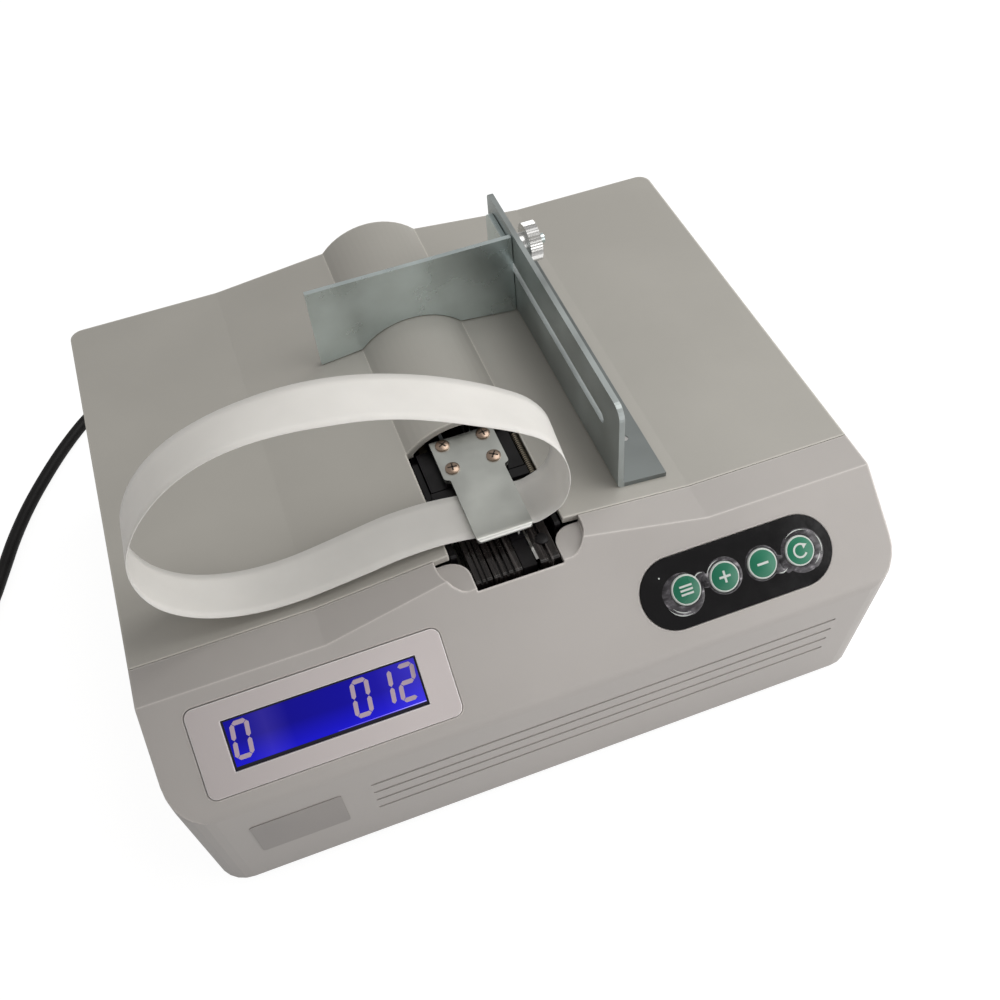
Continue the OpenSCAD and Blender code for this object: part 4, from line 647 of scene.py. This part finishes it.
def makeDisplay(d):
    digitInk = mouldedPlastic("digitInk", (0.46, 0.36, 0.44), 0.4, 900, 0.03, 0.02)
    # dark border round the display face
    darkRim = mouldedPlastic("displayEdge", (0.004, 0.003, 0.012), 0.3, 900, 0.02, 0.02)
    digits = bmesh.new()
    addDigits(digits, d)
    addPiece("displayDigits", digits, digitInk, "housing", smooth=False)
    face = bmesh.new()
    bar(face, d["width"], d["height"], 0.00002, onPanel(d["x"], d["down"], d["top"]))
    addPiece("displayFace", face, finishes["display"], "housing", smooth=False)
    glint = bmesh.new()
    g = d["glint"]
    bar(glint, g["width"], g["height"], 0.00003, onPanel(g["x"], g["down"], d["top"] + 0.00002))
    addPiece("displayGlint", glint, glintLine(), "housing", smooth=False)
    rim = bmesh.new()
    addRim(rim, d)
    addPiece("displayRim", rim, darkRim, "housing", smooth=False)


makeDisplay(display)

# keys: white cap, green face and a plain sign each; around them the film's shallow wells, and painted glints
# along its creases
keys = {
    "x": 0.0526,
    "pitch": 0.0144,
    "down": 0.02095,
    "plate": 0.0005,
    "top": 0.0008,
    # radius, depth and height of the stem, its flange and the cap
    "stem": (0.0015, 0.0024, -0.0047),
    "flange": (0.0063, 0.0012, -0.0025),
    "cap": (0.0054, 0.0022, -0.0014),
    "nodes": ["function_button", "plus_button", "minus_button", "reset_button"],
    "bodies": ["function_key", "plus_key", "minus_key", "reset_key"],
    # radii between which a well may run round its key, and the heights of its film
    "hole": 0.0057,
    "reach": 0.0088,
    "rim": (0.00004, 0.00014),
    # key, shift right, shift down and radius of each well
    "wells": [
        (0, -0.0014, 0.0014, 0.0076), (0, 0.0062, -0.0016, 0.0028), (0, 0.0078, -0.0006, 0.0024),
        (1, 0.0002, -0.0003, 0.0065), (2, 0.0001, -0.0001, 0.0062), (2, 0.0062, 0.0024, 0.0033),
        (3, -0.0062, 0.0032, 0.003), (3, 0.0009, 0.0002, 0.0078), (3, 0.0042, 0.0026, 0.0048),
    ],
    # key, shift right, shift down, radius, first angle and sweep of each painted crease glint
    "creaseGlints": [
        (0, -0.0014, 0.0014, 0.0071, 205, 80), (0, -0.0012, 0.0012, 0.0063, 215, 60),
        (0, 0.0062, -0.0016, 0.0024, 60, 110), (1, 0, 0, 0.0062, 95, 70),
        (3, 0.0009, 0.0002, 0.0073, -25, 60), (3, 0.0009, 0.0002, 0.0066, -60, 40),
        (3, 0.0009, 0.0002, 0.0073, 60, 70), (2, 0.0062, 0.0024, 0.0029, 240, 80),
    ],
    "creaseGlintWidth": 0.00034,
    "speck": (0.0447, 0.0144, 0.0003),
}
signs = {  # plain signs on the keys
    "thick": 0.00005,
    "bars": {"length": 0.0046, "width": 0.0007, "pitch": 0.0014},
    "cross": {"length": 0.0042, "width": 0.0008, "arm": 0.0017},
    "arrow": {"radius": 0.0023, "start": 40, "sweep": 280, "bits": 20, "bit": (0.0007, 0.00062),
              "head": 0.0012},
}


def addBars(bm, place):
    size = signs["bars"]
    for n in (-1, 0, 1):
        bar(bm, size["length"], size["width"], signs["thick"], place @ moved(0, n * size["pitch"], 0))


def addMinus(bm, place):
    size = signs["cross"]
    bar(bm, size["length"], size["width"], signs["thick"], place)


def addPlus(bm, place):
    size = signs["cross"]
    addMinus(bm, place)
    for side in (1, -1):
        middle = side * (size["arm"] + size["width"]) / 2
        bar(bm, size["width"], size["arm"], signs["thick"], place @ moved(0, middle, 0))


def addRoundArrow(bm, place):
    size = signs["arrow"]
    for n in range(size["bits"]):
        spoke = turned(size["start"] + size["sweep"] * n / (size["bits"] - 1)) @ moved(size["radius"], 0, 0)
        bar(bm, *size["bit"], signs["thick"], place @ spoke)
    head = bmesh.ops.create_circle(bm, cap_ends=True, segments=3, radius=size["head"])
    spoke = turned(size["start"]) @ moved(size["radius"], 0, 0.00004)
    bmesh.ops.transform(bm, matrix=place @ spoke, verts=head["verts"])


def wellReach(k, index, angle):  # how far the wells go from a key's middle at this angle
    aim = Vector((math.cos(angle), math.sin(angle)))
    far = k["hole"]
    for owner, dx, dy, radius in k["wells"]:
        middle = Vector((dx + (owner - index) * k["pitch"], -dy))
        along = middle.dot(aim)
        inside = radius ** 2 - (middle.length_squared - along ** 2)
        if abs(owner - index) < 2 and inside > 0 and along - math.sqrt(inside) < far:
            far = max(far, min(along + math.sqrt(inside), k["reach"]))
    return far


def addWell(bm, k, index):  # a thin ring from the key's hole to the edge of the wells
    steps = 144
    low, high = k["rim"]
    place = onPanel(k["x"] + index * k["pitch"], k["down"], k["plate"])
    rows = []
    for n in range(steps):
        angle = 2 * math.pi * n / steps
        far = wellReach(k, index, angle)
        edge = max(k["hole"], far - 0.0003)
        section = [(k["hole"], low), (k["hole"], high), (edge, high), (far + 0.00001, low)]
        rows.append([bm.verts.new(place @ Vector((r * math.cos(angle), r * math.sin(angle), up)))
                     for r, up in section])
    for n in range(steps):
        now, after = rows[n], rows[(n + 1) % steps]
        for a in range(3):
            bm.faces.new((now[a], after[a], after[a + 1], now[a + 1]))


def addCreaseGlint(bm, k, index, dx, dy, radius, start, sweep):  # a painted glint along a crease: an arc, thin at both ends
    place = onPanel(k["x"] + index * k["pitch"] + dx, k["down"] + dy, k["plate"] + 0.00017)
    steps = int(sweep / 6)
    for n in range(steps):
        share = (n + 0.5) / steps
        width = k["creaseGlintWidth"] * math.sin(math.pi * share)
        length = radius * math.radians(sweep) / steps * 1.1
        bar(bm, width, length, 0.00004, place @ turned(start + sweep * share) @ moved(radius, 0, 0))


def makeKey(k, node, body, x, addSign):
    radius = k["cap"][0]
    cap = bmesh.new()
    disc(cap, *k["stem"][:2], onPanel(x, k["down"], k["stem"][2]), 16)
    disc(cap, *k["flange"][:2], onPanel(x, k["down"], k["flange"][2]))
    disc(cap, *k["cap"][:2], onPanel(x, k["down"], k["cap"][2]), 64)
    disc(cap, radius, 0.0004, onPanel(x, k["down"], k["top"]), 64, radius - 0.0003)
    obj = addPiece(node + "Cap", cap, whiteAndGlint, body)
    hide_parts(node)
    face = bmesh.new()
    disc(face, radius - 0.0006, 0.0001, onPanel(x, k["down"], k["top"] + 0.0004), 64, radius - 0.0008)
    addPiece(node + "Face", face, finishes["button_green"], body)
    ink = bmesh.new()
    addSign(ink, onPanel(x, k["down"], k["top"] + 0.0005))
    addPiece(node + "Sign", ink, whiteAndGlint, body, smooth=False)


def makeKeys(k):
    addSigns = [addBars, addPlus, addMinus, addRoundArrow]
    for index, (node, body, addSign) in enumerate(zip(k["nodes"], k["bodies"], addSigns)):
        makeKey(k, node, body, k["x"] + index * k["pitch"], addSign)
    wells = bmesh.new()
    for index in range(len(k["nodes"])):
        addWell(wells, k, index)
    addPiece("keyFilmWells", wells, clearFilm(), "housing")
    # painted highlights: white glint arcs along the film's creases, and one bright speck
    shine = bmesh.new()
    for creaseGlint in k["creaseGlints"]:
        addCreaseGlint(shine, k, *creaseGlint)
    x, down, size = k["speck"]
    disc(shine, size, 0.0001, onPanel(x, down, k["plate"]), 16)
    addPiece("keyFilmShine", shine, whiteAndGlint, "housing", smooth=False)


makeKeys(keys)

# anvil screws with crossed slots
anvilScrews = {
    "x": 0.0077,
    "y": (-0.029378, -0.017878),
    "z": 0.1049,
    "radius": 0.0026,
    "rim": 0.0006,
    "crown": 0.0005,
    "shank": (0.0014, 0.0068),
    "slot": (0.0034, 0.0006),
    "turns": (-5.8, 34.2, 55.8, 95.8),
}


def makeAnvilScrews(a):
    heads = bmesh.new()
    slots = bmesh.new()
    places = [(x, y) for x in (-a["x"], a["x"]) for y in a["y"]]
    for (x, y), degrees in zip(places, a["turns"]):
        place = moved(x, y, a["z"]) @ turned(degrees)
        disc(heads, a["radius"], a["rim"], place, 32)
        disc(heads, a["radius"], a["crown"], place @ moved(0, 0, a["rim"]), 32, a["radius"] * 0.72)
        disc(heads, *a["shank"], moved(x, y, a["z"] - a["shank"][1]), 16)
        for quarter in (0, 90):
            bar(slots, *a["slot"], 0.00003, place @ moved(0, 0, a["rim"] + a["crown"]) @ turned(quarter))
    obj = addPiece("anvilScrewHeads", heads, finishes["copper_screws"], "anvil")
    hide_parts("anvil_screws")
    shadow = mouldedPlastic("slotShadow", (0.03, 0.018, 0.01), 0.6, 900, 0.1, 0.1)
    addPiece("anvilScrewSlots", slots, shadow, "anvil", smooth=False)


makeAnvilScrews(anvilScrews)

# ribbed pin beside the head and button-head screw on the right press
headBits = {
    "pin": (0.0188, -0.0292, 0.1004),
    "pinRadius": 0.00122,
    "pinLength": 0.0202,
    "ribs": 22,
    "screw": (0.0116, -0.0656, 0.0983),
    "screwRadius": 0.0023,
}


def makeHeadBits(h):
    pin = bmesh.new()
    pitch = h["pinLength"] / h["ribs"]
    x, y, z = h["pin"]
    for n in range(h["ribs"]):
        place = moved(x, y - h["pinLength"] / 2 + pitch * (n + 1), z) @ turned(90, "X")
        disc(pin, h["pinRadius"], pitch * 0.55, place, 24, h["pinRadius"] + 0.00006)
    brass = polishedSteel("pinBrass", (0.42, 0.36, 0.27), 0.3)
    addPiece("ribbedPin", pin, brass, "housing")
    screw = bmesh.new()
    disc(screw, h["screwRadius"], 0.0005, moved(*h["screw"]), 32)
    disc(screw, h["screwRadius"], 0.0004, moved(*h["screw"]) @ moved(0, 0, 0.0005), 32, 0.0014)
    addPiece("pressScrew", screw, finishes["black_steel"], "right_press")


makeHeadBits(headBits)

# bare plate on the front face, which leans back towards its foot
plate = {
    "x": (-0.110, -0.0785),
    "z": (0.0283, 0.0538),
    "thick": 0.0003,
    "corner": 0.0012,
    "faceTop": (-0.110, 0.0706),
    "lean": (0.008, 0.0656),  # back, over this height
}


def makePlate(p):
    back, height = p["lean"]
    lean = math.degrees(math.atan2(back, height))
    x, z = sum(p["x"]) / 2, sum(p["z"]) / 2
    y = p["faceTop"][0] + (p["faceTop"][1] - z) / height * back
    width, tall = p["x"][1] - p["x"][0], p["z"][1] - p["z"][0]
    bm = bmesh.new()
    bar(bm, width, tall / math.cos(math.radians(lean)), p["thick"], moved(x, y, z) @ turned(90 + lean, "X"))
    upright = [e for e in bm.edges if abs(e.calc_length() - p["thick"]) < 1e-6]
    bmesh.ops.bevel(bm, geom=upright, offset=p["corner"], segments=4, profile=0.5, affect="EDGES",
                    material=-1)
    foil = mouldedPlastic("plateFoil", (0.27, 0.25, 0.237), 0.4, 1200, 0.1, 0.04)
    addPiece("barePlate", bm, foil, "housing")


makePlate(plate)
print("pieces made")

# room: white floor that keeps the shadow, dark under the machine, pale air and three lamps
room = {
    "floor": 0.8,
    "glow": 1.26,
    "glowShare": 0.72,
    "mirrorShare": 0.4,
    # x and y at which the floor under the machine starts to glow, and glows in full
    "under": {"X": (0.1, 0.112), "Y": (0.086, 0.096)},
    "air": (1.0, 0.985, 0.97),
    "airStrength": 0.41,
    "aim": (0, 0, 0.05),
    # place, size, power and colour
    "lamps": {
        "ceilingLamp": ((0.42, 0.05, 0.9), (0.7, 0.7), 3.7, (1.0, 0.995, 0.98)),
        "sideLamp": ((0.66, -0.35, 0.35), (0.7, 0.5), 1.9, (1.0, 0.99, 0.985)),
        "frontLamp": ((0.5, -0.8, 0.25), (1.0, 0.5), 1.7, (1.0, 0.985, 0.985)),
    },
}


def combine(tree, operation, first, second):
    node = tree.nodes.new("ShaderNodeMath")
    node.operation = operation
    for socket, value in zip(node.inputs, (first, second)):
        if isinstance(value, float):
            socket.default_value = value
        else:
            tree.links.new(value, socket)
    return node.outputs[0]


def besideMachine(tree, coords, under):
    size = tree.nodes.new("ShaderNodeVectorMath")
    size.operation = "ABSOLUTE"
    tree.links.new(coords.outputs["Object"], size.inputs[0])
    aside = addRange(tree, placeAlong(tree, size.outputs[0], "X"), 0, 1, *under["X"])
    ahead = addRange(tree, placeAlong(tree, size.outputs[0], "Y"), 0, 1, *under["Y"])
    return combine(tree, "MAXIMUM", aside, ahead)


def makeFloor(r):
    bm = bmesh.new()
    bmesh.ops.create_grid(bm, x_segments=1, y_segments=1, size=4)
    mesh = bpy.data.meshes.new("floor")
    bm.to_mesh(mesh)
    bm.free()
    floor = bpy.data.objects.new("floor", mesh)
    bpy.context.scene.collection.objects.link(floor)
    floor.location.z = -0.0002
    finish, tree, shader, coords = startFinish("paleFloor", (r["floor"],) * 3, 0.8)
    mesh.materials.append(finish)
    light = tree.nodes.new("ShaderNodeEmission")
    light.inputs["Color"].default_value = (1, 1, 1, 1)
    light.inputs["Strength"].default_value = r["glow"]
    path = tree.nodes.new("ShaderNodeLightPath").outputs
    mirrored = combine(tree, "MULTIPLY", path["Is Glossy Ray"], r["mirrorShare"])
    seen = combine(tree, "MAXIMUM", path["Is Camera Ray"], mirrored)
    seen = combine(tree, "MAXIMUM", seen, path["Is Transmission Ray"])
    share = combine(tree, "MULTIPLY", seen, r["glowShare"])
    share = combine(tree, "MULTIPLY", share, besideMachine(tree, coords, r["under"]))
    mix = tree.nodes.new("ShaderNodeMixShader")
    tree.links.new(share, mix.inputs["Fac"])
    tree.links.new(shader.outputs[0], mix.inputs[1])
    tree.links.new(light.outputs[0], mix.inputs[2])
    tree.links.new(mix.outputs[0], tree.nodes["Material Output"].inputs["Surface"])


def makeAir(r):
    world = bpy.data.worlds.new("room")
    bpy.context.scene.world = world
    world.use_nodes = True
    tree = world.node_tree
    air = tree.nodes["Background"]
    air.inputs["Color"].default_value = (*r["air"], 1)
    air.inputs["Strength"].default_value = r["airStrength"]
    white = tree.nodes.new("ShaderNodeBackground")
    white.inputs["Color"].default_value = (1, 1, 1, 1)
    mix = tree.nodes.new("ShaderNodeMixShader")
    path = tree.nodes.new("ShaderNodeLightPath")
    tree.links.new(path.outputs["Is Camera Ray"], mix.inputs["Fac"])
    tree.links.new(air.outputs[0], mix.inputs[1])
    tree.links.new(white.outputs[0], mix.inputs[2])
    tree.links.new(mix.outputs[0], tree.nodes["World Output"].inputs["Surface"])


def addLamp(name, place, size, power, color, target):
    data = bpy.data.lights.new(name, "AREA")
    data.shape = "RECTANGLE"
    data.size, data.size_y = size
    data.energy = power
    data.color = color
    obj = bpy.data.objects.new(name, data)
    bpy.context.scene.collection.objects.link(obj)
    aim = (Vector(target) - Vector(place)).to_track_quat("-Z", "Y")
    obj.matrix_world = moved(*place) @ aim.to_matrix().to_4x4()


makeFloor(room)
makeAir(room)
for lampName, lamp in room["lamps"].items():
    addLamp(lampName, *lamp, room["aim"])
print("room and lamps made")

bpy.context.scene.view_settings.view_transform = "Standard"
print("scene ready")
